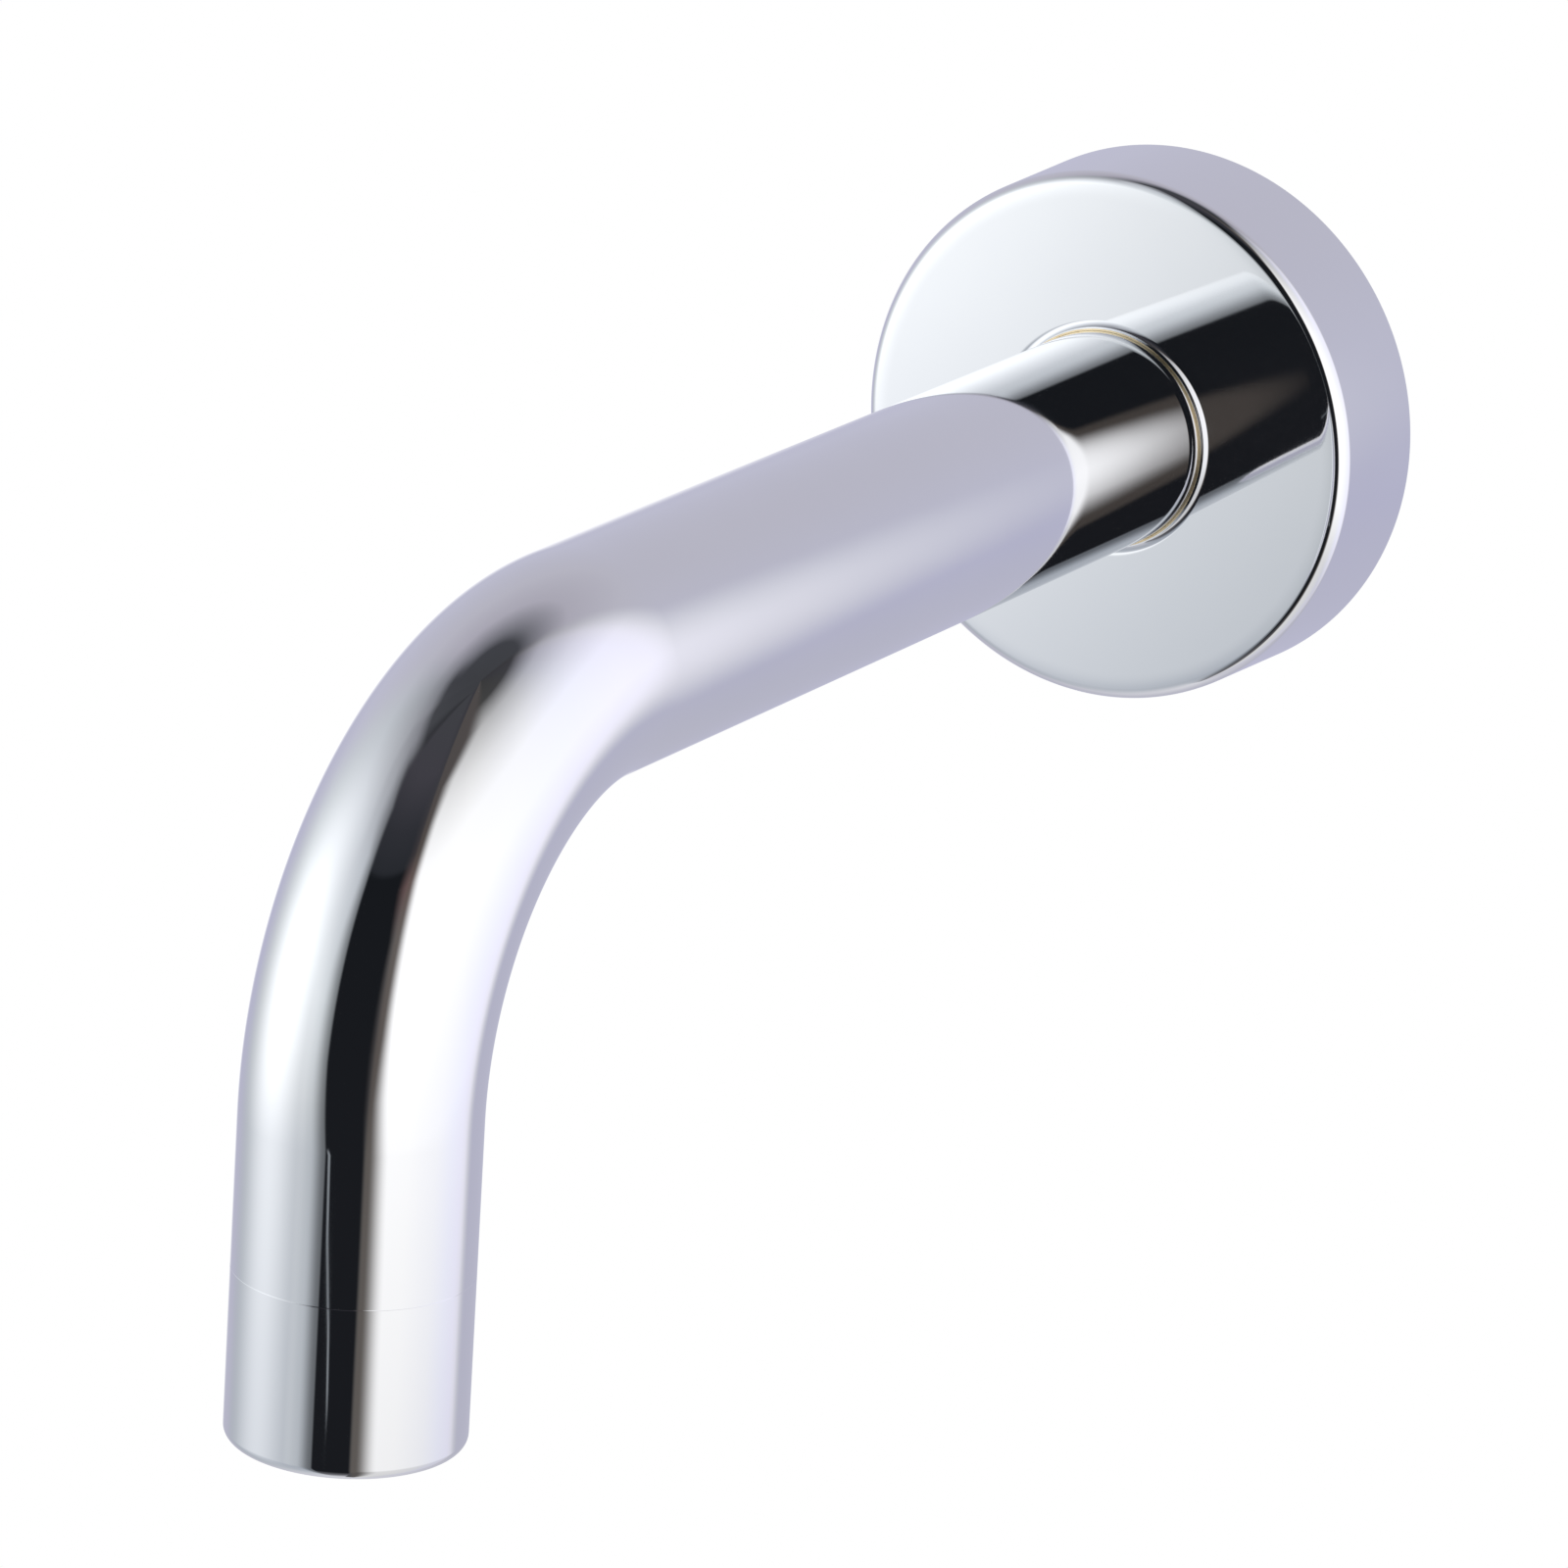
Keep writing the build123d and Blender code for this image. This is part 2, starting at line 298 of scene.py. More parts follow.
@dataclass(frozen=True)
class ChromePlate:
    """Bright chrome on polished brass: a mirror with a breath of haze and a trace of ripple.

    Attributes:
        haze: roughness that the clouds add.
        even: share of the haze that the buffing lines leave alone.
        clouds: patches of haze and thin plate.
        buffing: lines that the buffing left.
        buffing_run: how they are drawn out along the arm.
        ripple: unevenness of the polished brass.
        ripple_depth: its depth, in metres.
    """

    name: str = "chrome_plate"
    tint: Colour = (0.875, 0.877, 0.89)
    thin_tint: Colour = (0.85, 0.853, 0.87)
    roughness: float = 0.022
    haze: float = 0.016
    even: float = 0.5
    clouds: Clouds = Clouds(0.018, 3.0, 0.55)
    buffing: Clouds = Clouds(0.0002, 2.0, 0.6)
    buffing_run: Point = (1.0, 0.09, 1.0)
    ripple: Clouds = Clouds(0.012, 1.0, 0.4)
    ripple_depth: float = 4e-6

    def make(self) -> Material:
        """Write the plate: clouds in tint and haze, buffing lines in the gloss, ripple in the normal."""
        material, web = new_material(self.name)
        place = web.place()
        cloud = web.noise(place, self.clouds)
        lines = web.noise(web.stretched(place, self.buffing_run), self.buffing)
        ripple = web.noise(place, self.ripple)
        web.dress({
            "Base Color": web.blend(cloud, self.thin_tint, self.tint),
            "Metallic": 1.0,
            "Roughness": self.roughness + self.haze * cloud * (self.even + lines),
            "Normal": web.dent(ripple, 1.0, self.ripple_depth),
        })
        return material


@dataclass(frozen=True)
class Finish:
    """A finish of two tones in clouds, with a fine grain in its gloss and its normal.

    Attributes:
        tone: the tone between the clouds.
        other: the tone in them.
        spread: cloud values over which the other tone comes in, or None for the cloud as it is.
        metal: 1 for bare metal.
        shine: strength of the shine on anything else.
        cloud_matt: roughness that the clouds add.
        grain: tool lines or the mould's skin.
        stretch: how the grain is drawn out.
        grain_matt: roughness that the grain adds.
        dent: share of the grain's bump that is used.
        depth: the grain's depth, in metres.
    """

    name: str
    tone: Colour
    other: Colour
    clouds: Clouds
    spread: tuple[float, float] | None = None
    metal: float = 0.0
    shine: float = 0.5
    roughness: float = 0.5
    cloud_matt: float = 0.0
    grain: Clouds = Clouds(0.00022)
    stretch: Point = (1.0, 1.0, 1.0)
    grain_matt: float = 0.0
    dent: float = 0.0
    depth: float = 1.5e-5

    def make(self) -> Material:
        """Write the finish: clouds in tone and gloss, grain in gloss and normal."""
        material, web = new_material(self.name)
        place = web.place()
        cloud = web.noise(place, self.clouds)
        grain = web.noise(web.stretched(place, self.stretch), self.grain)
        share = cloud.rise(*self.spread) if self.spread else cloud
        web.dress({
            "Base Color": web.blend(share, self.tone, self.other),
            "Metallic": self.metal,
            "Roughness": self.roughness + self.cloud_matt * cloud + self.grain_matt * grain,
            "Specular IOR Level": self.shine,
            "Normal": web.dent(grain, self.dent, self.depth),
        })
        return material


@dataclass(frozen=True)
class TurnedBrass(Finish):
    """Brass as it leaves the lathe: tool lines a feed apart along the lathe's axis, a little tarnish."""

    tone: Colour = (0.80, 0.59, 0.28)
    other: Colour = (0.52, 0.34, 0.14)
    clouds: Clouds = Clouds(0.004, 4.0, 0.62)
    spread: tuple[float, float] | None = (0.42, 0.78)
    metal: float = 1.0
    roughness: float = 0.2
    cloud_matt: float = 0.16
    stretch: Point = Turning.WALL.value
    grain_matt: float = 0.08
    dent: float = 0.3


@dataclass(frozen=True)
class DullPlate(TurnedBrass):
    """Thin, unpolished plate inside the flange's cup: grey, warm where it is thin, over as-turned lines."""

    name: str = "dull_plate"
    tone: Colour = (0.62, 0.61, 0.59)
    other: Colour = (0.52, 0.47, 0.38)
    clouds: Clouds = Clouds(0.012, 4.0, 0.6)
    spread: tuple[float, float] | None = (0.45, 0.75)
    roughness: float = 0.28
    grain: Clouds = Clouds(0.00035)
    grain_matt: float = 0.05


@dataclass(frozen=True)
class MouldedRubber(Finish):
    """Black moulded rubber: a pale bloom in patches on a dark matt skin."""

    name: str = "moulded_rubber"
    tone: Colour = (0.016, 0.016, 0.017)
    other: Colour = (0.05, 0.05, 0.053)
    clouds: Clouds = Clouds(0.003, 4.0, 0.6)
    spread: tuple[float, float] | None = (0.4, 0.8)
    shine: float = 0.35
    roughness: float = 0.55
    cloud_matt: float = 0.2
    grain: Clouds = Clouds(0.00025, 3.0, 0.6)
    dent: float = 0.35
    depth: float = 3e-5


@dataclass(frozen=True)
class MouldedAcetal(Finish):
    """Slippery moulded plastic: faint flow clouds in colour and gloss, a fine skin from the mould."""

    clouds: Clouds = Clouds(0.005, 3.0, 0.5)
    roughness: float = 0.34
    cloud_matt: float = 0.14
    dent: float = 0.2
    depth: float = 2e-5


@dataclass(frozen=True)
class FloorPaint(Finish):
    """Plain pale floor paint: two pale tones in broad clouds, matt."""

    name: str = "floor_paint"
    tone: Colour = (0.93, 0.93, 0.93)
    other: Colour = (0.90, 0.90, 0.905)
    clouds: Clouds = Clouds(0.4)
    shine: float = 0.2
    roughness: float = 0.8


class Skin(IntEnum):
    """Material slots of a plated piece, in the order they are put on it."""

    PLATE = 0
    BRASS = 1
    DULL = 2


class Finishes:
    """Every finish of the spout, made once."""

    def __init__(self) -> None:
        """Make each finish."""
        pale_brass, worn_brass = (0.96, 0.80, 0.52), (0.82, 0.62, 0.36)
        self.chrome = ChromePlate().make()
        self.dull = DullPlate().make()
        self.wall_brass = TurnedBrass("turned_brass_inlet").make()
        self.outlet_brass = TurnedBrass("turned_brass_outlet", stretch=Turning.OUTLET.value).make()
        self.bored_brass = TurnedBrass("bored_brass", pale_brass, worn_brass, grain=Clouds(0.00003)).make()
        self.rubber = MouldedRubber().make()
        self.cage = MouldedAcetal("cage_acetal", (0.72, 0.73, 0.75), (0.64, 0.65, 0.68)).make()
        self.jets = MouldedAcetal("jet_acetal", (0.10, 0.135, 0.18), (0.08, 0.105, 0.145)).make()
        self.strainer = MouldedAcetal("strainer_acetal", (0.80, 0.81, 0.81), (0.72, 0.73, 0.74)).make()


# Shapes


class Axis(Protocol):
    """Something to carry a section round."""

    def stand(self, along: Array) -> tuple[Array, Array, Array, Array]:
        """Centres, forward directions and two side directions at places along the axis."""


@dataclass(frozen=True)
class Axle:
    """A straight axis."""

    start: Point
    run: Point

    def stand(self, along: Array) -> tuple[Array, Array, Array, Array]:
        """Where the axis is and how it stands: start plus the way along its run, X as the first side.

        Args:
            along: (n,) metres along it.

        Returns:
            Centres, forward directions and two side directions, each (n, 3).
        """
        forward = np.tile(np.array(self.run, float), (len(along), 1))
        first = np.tile(np.array([1.0, 0.0, 0.0]), (len(along), 1))
        return np.array(self.start) + along[:, None] * forward, forward, first, np.cross(forward, first)


@dataclass(frozen=True)
class BentAxis:
    """The tube's axis: straight out from the wall, a quarter turn down, straight down."""

    arm: float
    bend: float
    drop: float

    @property
    def bend_end(self) -> float:
        """Way from the wall to the end of the bend."""
        return self.arm + self.bend * math.pi / 2

    @property
    def length(self) -> float:
        """Way from the wall to the outlet end."""
        return self.bend_end + self.drop

    def stand(self, along: Array) -> tuple[Array, Array, Array, Array]:
        """Where the axis is and how it stands.

        The turn's angle is the way past the arm over the bend radius, held between 0 and a quarter turn.
        The centre is the turn's point, with what lies before the bend laid along -Y and what lies after
        it along -Z.

        Args:
            along: (n,) metres along it.

        Returns:
            Centres, forward directions and two side directions, each (n, 3).
        """
        turn = np.clip((along - self.arm) / self.bend, 0.0, math.pi / 2)
        level = np.minimum(along, self.arm)
        fall = np.maximum(along - self.bend_end, 0.0)
        none = np.zeros_like(along)
        out, down = level + self.bend * np.sin(turn), self.bend * (1 - np.cos(turn)) + fall
        centres = np.stack([none, -out, -down], 1)
        forward = np.stack([none, -np.cos(turn), -np.sin(turn)], 1)
        first = np.tile(np.array([1.0, 0.0, 0.0]), (len(along), 1))
        return centres, forward, first, np.cross(forward, first)

    def stations(self, step: float, bend_steps: int) -> Array:
        """Places along the axis that follow its bend closely.

        Args:
            step: step on the straights, in metres.
            bend_steps: steps in the bend.

        Returns:
            The places, in metres, in rising order.
        """
        return np.concatenate([
            np.arange(step, self.arm - step / 2, step),
            np.linspace(self.arm, self.bend_end, bend_steps + 1),
            np.arange(self.bend_end + step, self.length - step / 2, step),
        ])


@dataclass(frozen=True)
class Corner:
    """One corner of a section.

    Attributes:
        along: place along the axis.
        out: distance from the axis.
        rounding: radius of the arc that replaces the corner.
        skin: material slot of the arc and of the side after it.
        stations: places where the side after it gets a point: along the axis, or out from it on a face.
    """

    along: float
    out: float
    rounding: float = 0.0
    skin: Skin = Skin.PLATE
    stations: Array | None = None


def sharp(skin: Skin, *spots: tuple[float, float]) -> list[Corner]:
    """Sharp corners at (along, out) that share one skin."""
    return [Corner(along, out, skin=skin) for along, out in spots]


@dataclass
class Section:
    """A closed section as points, with the outward normal on each side of every point.

    Attributes:
        points: (n, 2) along and out.
        before: (n, 2) normal of the stretch that ends at each point.
        after: (n, 2) normal of the stretch that starts at each point.
        skin: (n,) material slot of the stretch that starts at each point.
    """

    points: Array
    before: Array
    after: Array
    skin: Array

    @classmethod
    def rounded(cls, corners: Sequence[Corner], arc_steps: int = 12) -> "Section":
        """Draw a closed section with its corners rounded.

        The corners go round with the material on their left, so a side's outward normal is its run turned
        right. An arc starts at its radius times the tangent of half the turn before the corner, its normal
        turns with it, and its points lie the radius along that normal from its centre. Flat sides keep
        their own normal to their ends.

        Args:
            corners: the corners in order.
            arc_steps: stretches in each arc.

        Returns:
            The section.
        """
        spots = np.array([(c.along, c.out) for c in corners])
        runs = np.roll(spots, -1, 0) - spots
        runs /= np.linalg.norm(runs, axis=1, keepdims=True)
        sides = np.stack([runs[:, 1], -runs[:, 0]], 1)
        points, before, after, skins = [], [], [], []
        for index, corner in enumerate(corners):
            run, side, next_run, next_side = runs[index - 1], sides[index - 1], runs[index], sides[index]
            if corner.rounding > 0.0:
                turn = math.atan2(run[0] * next_run[1] - run[1] * next_run[0], float(run @ next_run))
                swing = np.linspace(0.0, turn, arc_steps + 1)[:, None]
                normal = np.cos(swing) * side + np.sin(swing) * np.array([-side[1], side[0]])
                bulge = math.copysign(corner.rounding, turn)
                start = spots[index] - run * corner.rounding * math.tan(abs(turn) / 2)
                arc, arrive, leave = start - bulge * side + bulge * normal, normal, normal
            else:
                arc, arrive, leave = spots[index][None], side[None], next_side[None]
            there = spots[(index + 1) % len(spots)]
            places = np.zeros(0) if corner.stations is None else np.asarray(corner.stations)
            way = int(abs(next_run[1]) > abs(next_run[0]))
            low, high = sorted((arc[-1, way], there[way]))
            places = places[(places > low + SAME) & (places < high - SAME)]
            places = places if there[way] > arc[-1, way] else places[::-1]
            share = (places - spots[index][way])[:, None] / (there[way] - spots[index][way])
            plain = np.tile(next_side, (len(places), 1))
            points += [arc, spots[index] + share * (there - spots[index])]
            before += [arrive, plain]
            after += [leave, plain]
            skins.append(np.full(len(arc) + len(places), int(corner.skin)))
        return cls(*(np.concatenate(parts) for parts in (points, before, after, skins)))

    def crowned(self, level: float, rim: float, curvature: float, roll: float, width: float) -> "Section":
        """Bow a face outwards and let it roll off to its rim, as buffing leaves it.

        The face's normal leans out by the curvature times the radius, plus the roll's lean times the
        squared share of the roll's width that the radius has passed. Above the level, a point inside the
        rim moves out along the axis by the sum of that lean from its radius to the rim, and normals lean
        by as much as they look along the axis.

        Args:
            level: place along the axis past which points move.
            rim: radius that stays where it is.
            curvature: lean per metre of radius.
            roll: further lean at the rim.
            width: how far inside the rim the roll starts.

        Returns:
            The section with its face bowed.
        """
        points = self.points.copy()
        out = points[:, 1]
        front = points[:, 0] > level
        share = np.clip((out - rim + width) / width, 0.0, 1.0)
        rise = curvature / 2 * np.maximum(rim**2 - out**2, 0.0) + roll * width / 3 * (1 - share**3)
        points[:, 0] += np.where(front, rise, 0.0)
        lean = np.where(front, curvature * out + roll * share**2, 0.0)
        bowed = []
        for normal in (self.before, self.after):
            leant = normal + np.stack([0 * out, lean * np.maximum(normal[:, 0], 0.0)], 1)
            bowed.append(leant / np.linalg.norm(leant, axis=1, keepdims=True))
        return Section(points, bowed[0], bowed[1], self.skin)


@dataclass(frozen=True)
class Thread:
    """A screw thread on one wall of a section.

    Attributes:
        wall: the plain wall's radius.
        low: where the thread starts along the axis.
        high: where it ends.
        pitch: way along for one turn.
        depth: root to crest.
        datum: share of the depth that lies inside the plain wall.
    """

    wall: float
    low: float
    high: float
    pitch: float
    depth: float
    datum: float

    def stations(self, per_turn: int) -> Array:
        """Places along the axis that follow the thread, with so many to a turn."""
        return np.arange(self.low, self.high, self.pitch / per_turn)

    def ridge(self, along: Array, out: Array, angle: Array) -> tuple[Array, Array, Array]:
        """How the thread moves the wall.

        The phase is the way along over the pitch, less the share of a turn. The ridge is half of one less
        the cosine of the phase's turn: with this depth and pitch its flanks are as steep as the real
        form's. It runs out over half a pitch at both ends.

        Args:
            along: (n,) places along the axis.
            out: (n,) plain radii.
            angle: (m,) angles round it.

        Returns:
            The shift outwards, its slope along the axis and its slope round it, each (n, m).
        """
        half_pitch = self.pitch / 2
        start = np.clip((along - self.low) / half_pitch, 0, 1)
        end = np.clip((self.high - along) / half_pitch, 0, 1)
        size = (self.depth * start * end * (np.abs(out - self.wall) < SAME))[:, None]
        phase = 2 * math.pi * along[:, None] / self.pitch - angle[None, :]
        shift = size * (0.5 - 0.5 * np.cos(phase) - self.datum)
        slope = size * 0.5 * np.sin(phase)
        return shift, slope * 2 * math.pi / self.pitch, -slope


def new_mesh(name: str, points: Array, closed: bool) -> Mesh:
    """Put a grid of points into a mesh of quads that closes round its columns.

    Args:
        name: the mesh's name.
        points: (rows, columns, 3) metres.
        closed: close it over its rows too.

    Returns:
        The mesh.
    """
    rows, columns = points.shape[:2]
    row, column = np.arange(rows if closed else rows - 1)[:, None], np.arange(columns)[None, :]
    here, there, beside = row * columns, (row + 1) % rows * columns, (column + 1) % columns
    faces = np.stack([here + column, there + column, there + beside, here + beside], -1).reshape(-1, 4)
    mesh = bpy.data.meshes.new(name)
    mesh.vertices.add(rows * columns)
    mesh.vertices.foreach_set("co", points.astype(np.float32).ravel())
    mesh.loops.add(faces.size)
    mesh.loops.foreach_set("vertex_index", faces.astype(np.int32).ravel())
    mesh.polygons.add(len(faces))
    mesh.polygons.foreach_set("loop_start", np.arange(0, faces.size, 4, dtype=np.int32))
    mesh.polygons.foreach_set("use_smooth", np.ones(len(faces), bool))
    mesh.update(calc_edges=True)
    return mesh


def carried(name: str, section: Section, axis: Axis, columns: int, thread: Thread | None = None) -> Mesh:
    """Carry a closed section round an axis.

    A point is the axis's centre at the section's along, plus the section's out, with any thread's shift,
    times the radius direction, which is the cosine and sine of the angle on the axis's two sides. A normal
    is the section normal's out part on that radius direction, leaned back by the thread's slopes, plus its
    along part on the axis, so every stretch has its own true normals.

    Args:
        name: the mesh's name.
        section: the closed section.
        axis: what it goes round.
        columns: points round the axis.
        thread: screw thread on one of its walls.

    Returns:
        The mesh, with its skins and normals set.
    """
    along, out = section.points.T
    centres, forward, first, second = (stand[:, None] for stand in axis.stand(along))
    angle = np.linspace(0.0, 2 * math.pi, columns, endpoint=False)
    cosine, sine = np.cos(angle)[None, :, None], np.sin(angle)[None, :, None]
    radius, tangent = cosine * first + sine * second, cosine * second - sine * first
    shift = slope = swirl = np.zeros((len(along), columns))
    if thread:
        shift, slope, swirl = thread.ridge(along, out, angle)
    reach = out[:, None] + shift
    lean = radius - slope[..., None] * forward - (swirl / reach)[..., None] * tangent
    lean /= np.linalg.norm(lean, axis=2, keepdims=True)

    mesh = new_mesh(name, centres + reach[..., None] * radius, closed=True)
    mesh.polygons.foreach_set("material_index", np.repeat(section.skin, columns).astype(np.int32))
    arrive, leave = (
        normal[:, 1][:, None, None] * lean + normal[:, 0][:, None, None] * forward
        for normal in (section.before, section.after)
    )
    arrive = np.roll(arrive, -1, 0)
    corners = np.stack([leave, arrive, np.roll(arrive, -1, 1), np.roll(leave, -1, 1)], 2)
    mesh.normals_split_custom_set(corners.reshape(-1, 3))
    return mesh


def seat(mesh: Mesh, materials: Sequence[Material], node: str) -> None:
    """Make a piece of a mesh, standing for a CAD node.

    Args:
        mesh: the mesh, in place.
        materials: its slots.
        node: the node that it stands for.
    """
    for material in materials:
        mesh.materials.append(material)
    piece = bpy.data.objects.new(mesh.name, mesh)
    bpy.context.scene.collection.objects.link(piece)
    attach(piece, "root")
    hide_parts(node)
    log.info("%s: %d faces, stands for %s", piece.name, len(mesh.polygons), node)


def paint(node: str, material: Material) -> None:
    """Give a carried-over CAD node its finish."""
    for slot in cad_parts[node].material_slots:
        slot.material = material
    log.info("%s: finished in %s", node, material.name)


# The spout


@dataclass
class InletEnd:
    """The brazed socket in the tube's wall end, with its pipe thread cut outwards from the crests.

    Attributes:
        radius: outside radius, which the braze holds in the tube.
        length: wall face to the inner end.
        turn_steps: points along one turn of the thread.
        columns: points round the axis.
    """

    finishes: Finishes
    radius: float
    length: float
    crest_radius: float = 9.315 * MM
    thread_end: float = 15.0 * MM
    mouth_bevel: float = 0.774 * MM
    waterway: float = 7.5 * MM
    pitch: float = 1.814 * MM
    thread_depth: float = 1.162 * MM
    turn_steps: int = 16
    columns: int = 128

    @classmethod
    def from_frame(cls, finishes: Finishes) -> "InletEnd":
        """Read the socket's sizes off its CAD node."""
        low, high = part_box("inlet_socket")
        return cls(finishes, radius=high.x, length=high.y - low.y)

    def build(self) -> None:
        """Turn the socket round the inlet's axis and cut its thread."""
        crest = self.crest_radius
        thread = Thread(crest, self.mouth_bevel, self.thread_end, self.pitch, self.thread_depth, datum=0.0)
        section = Section.rounded([
            Corner(0.0, crest + self.mouth_bevel),
            Corner(self.mouth_bevel, crest, stations=thread.stations(self.turn_steps)),
            Corner(self.thread_end, crest),
            Corner(self.thread_end, self.waterway),
            Corner(self.length, self.waterway),
            Corner(self.length, self.radius),
            Corner(0.0, self.radius),
        ])
        mesh = carried("inlet_socket_turned", section, Axle((0, 0, 0), (0, -1, 0)), self.columns, thread)
        seat(mesh, [self.finishes.wall_brass], "inlet_socket")


@dataclass
class Arm:
    """The bent tube, from the wall to the parting line.

    Attributes:
        radius: outside radius.
        reach: wall to the outlet's axis.
        fall: inlet's axis down to the parting line.
        step: way between points on the straights.
        bend_steps: stretches in the bend.
        columns: points round the axis.
    """

    finishes: Finishes
    radius: float
    reach: float
    fall: float
    wall: float = 1.2 * MM
    bend: float = 38.5 * MM
    inlet_bevel: float = 0.6 * MM
    seam_bevel: float = 0.05 * MM
    step: float = 4.5 * MM
    bend_steps: int = 112
    columns: int = 192

    @classmethod
    def from_frame(cls, finishes: Finishes) -> "Arm":
        """Read the tube's sizes off its CAD node."""
        low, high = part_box("spout_tube")
        return cls(finishes, radius=high.x, reach=-low.y - high.x, fall=-low.z)

    def build(self) -> None:
        """Carry the wall's section along the bent axis."""
        axis = BentAxis(self.reach - self.bend, self.bend, self.fall - self.bend)
        stations = axis.stations(self.step, self.bend_steps)
        bore, end = self.radius - self.wall, axis.length
        section = Section.rounded([
            Corner(0.0, bore, skin=Skin.BRASS, stations=stations),
            Corner(end, bore, skin=Skin.BRASS),
            Corner(end, self.radius - self.seam_bevel),
            Corner(end - self.seam_bevel, self.radius, stations=stations),
            Corner(self.inlet_bevel, self.radius),
            Corner(0.0, self.radius - self.inlet_bevel, skin=Skin.BRASS),
        ])
        mesh = carried("spout_tube_bent", section, axis, self.columns)
        seat(mesh, [self.finishes.chrome, self.finishes.wall_brass], "spout_tube")


@dataclass
class WallFlange:
    """The cover cup on the wall: drafted rim, slightly crowned face, hub round the tube with its ring groove.

    Attributes:
        radius: outside radius at the wall.
        depth: wall to the face.
        bore: radius of the hole that the tube goes through.
        collar: outside radius of the bare brass edge of that hole.
        collar_drop: face to that edge.
        gap: width of the fine groove between that edge and the plated lip.
        gap_depth: depth of that groove below the edge.
        lip_fall: how far the lip falls from the face to the groove.
        lip_slope: its slope there, in degrees.
        lip_round: round between that slope and the face.
        crown: lean of the face's normal per metre of radius.
        crown_start: way behind the face where the crown begins, in edge rounds.
        roll: further lean where the face rolls off to its edge.
        roll_width: width of that roll.
        face_steps: stretches across the face.
        roll_steps: points across the roll.
        columns: points round the axis.
    """

    finishes: Finishes
    radius: float
    depth: float
    draft: float = 0.35 * MM
    rim_wall: float = 1.6 * MM
    face_wall: float = 2.0 * MM
    edge_round: float = 1.4 * MM
    floor_round: float = 1.5 * MM
    hub_radius: float = 16.8 * MM
    hub_length: float = 8.0 * MM
    hub_bevel: float = 0.6 * MM
    bore: float = 12.52 * MM
    collar: float = 12.73 * MM
    collar_drop: float = 0.05 * MM
    gap: float = 0.12 * MM
    gap_depth: float = 0.4 * MM
    lip_fall: float = 0.3 * MM
    lip_slope: float = 36.0
    lip_round: float = 1.55 * MM
    crown: float = 0.9
    crown_start: float = 1.1
    roll: float = 0.075
    roll_width: float = 1.8 * MM
    groove_radius: float = 14.36 * MM
    groove_middle: float = 11.8 * MM
    groove_width: float = 2.3 * MM
    face_steps: int = 24
    roll_steps: int = 16
    columns: int = 320

    @classmethod
    def from_frame(cls, finishes: Finishes) -> "WallFlange":
        """Read the flange's sizes off its CAD node."""
        low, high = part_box("wall_flange")
        return cls(finishes, radius=min(high.x, -low.x, high.z, -low.z), depth=high.y - low.y)

    def build(self) -> None:
        """Turn the cup's section round the inlet's axis."""
        bore, hub, bevel, depth = self.bore, self.hub_radius, self.hub_bevel, self.depth
        front, floor = self.radius - self.draft, depth - self.face_wall
        hub_end = depth - self.hub_length
        near, far = self.groove_middle - self.groove_width / 2, self.groove_middle + self.groove_width / 2
        rim = front - self.edge_round
        collar_top = depth - self.collar_drop
        gap_floor = collar_top - self.gap_depth
        lip = self.collar + self.gap
        lip_corner = lip + self.lip_fall / math.tan(math.radians(self.lip_slope))
        roll_start = rim - self.roll_width
        across = np.append(np.linspace(lip_corner, roll_start, self.face_steps, endpoint=False),
                           np.linspace(roll_start, rim, self.roll_steps))
        section = Section.rounded([
            Corner(0.0, self.radius - self.rim_wall, skin=Skin.DULL),
            Corner(floor, front - self.rim_wall, self.floor_round, Skin.DULL),
            Corner(floor, hub, self.floor_round, Skin.DULL),
            *sharp(Skin.DULL, (hub_end + bevel, hub), (hub_end, hub - bevel)),
            *sharp(Skin.BRASS, (hub_end, bore + bevel), (hub_end + bevel, bore), (near, bore)),
            *sharp(Skin.BRASS, (near, self.groove_radius), (far, self.groove_radius), (far, bore)),
            *sharp(Skin.BRASS, (collar_top, bore)),
            *sharp(Skin.PLATE, (collar_top, self.collar), (gap_floor, self.collar), (gap_floor, lip)),
            Corner(depth - self.lip_fall, lip),
            Corner(depth, lip_corner, self.lip_round, stations=across),
            Corner(depth, front, self.edge_round),
            Corner(0.0, self.radius, skin=Skin.DULL),
        ]).crowned(depth - self.crown_start * self.edge_round, rim, self.crown, self.roll, self.roll_width)
        mesh = carried("wall_flange_cup", section, Axle((0, 0, 0), (0, -1, 0)), self.columns)
        skins = [self.finishes.chrome, self.finishes.bored_brass, self.finishes.dull]
        seat(mesh, skins, "wall_flange")

    def dress(self) -> None:
        """Finish the ring in the flange's groove."""
        paint("flange_o_ring", self.finishes.rubber)


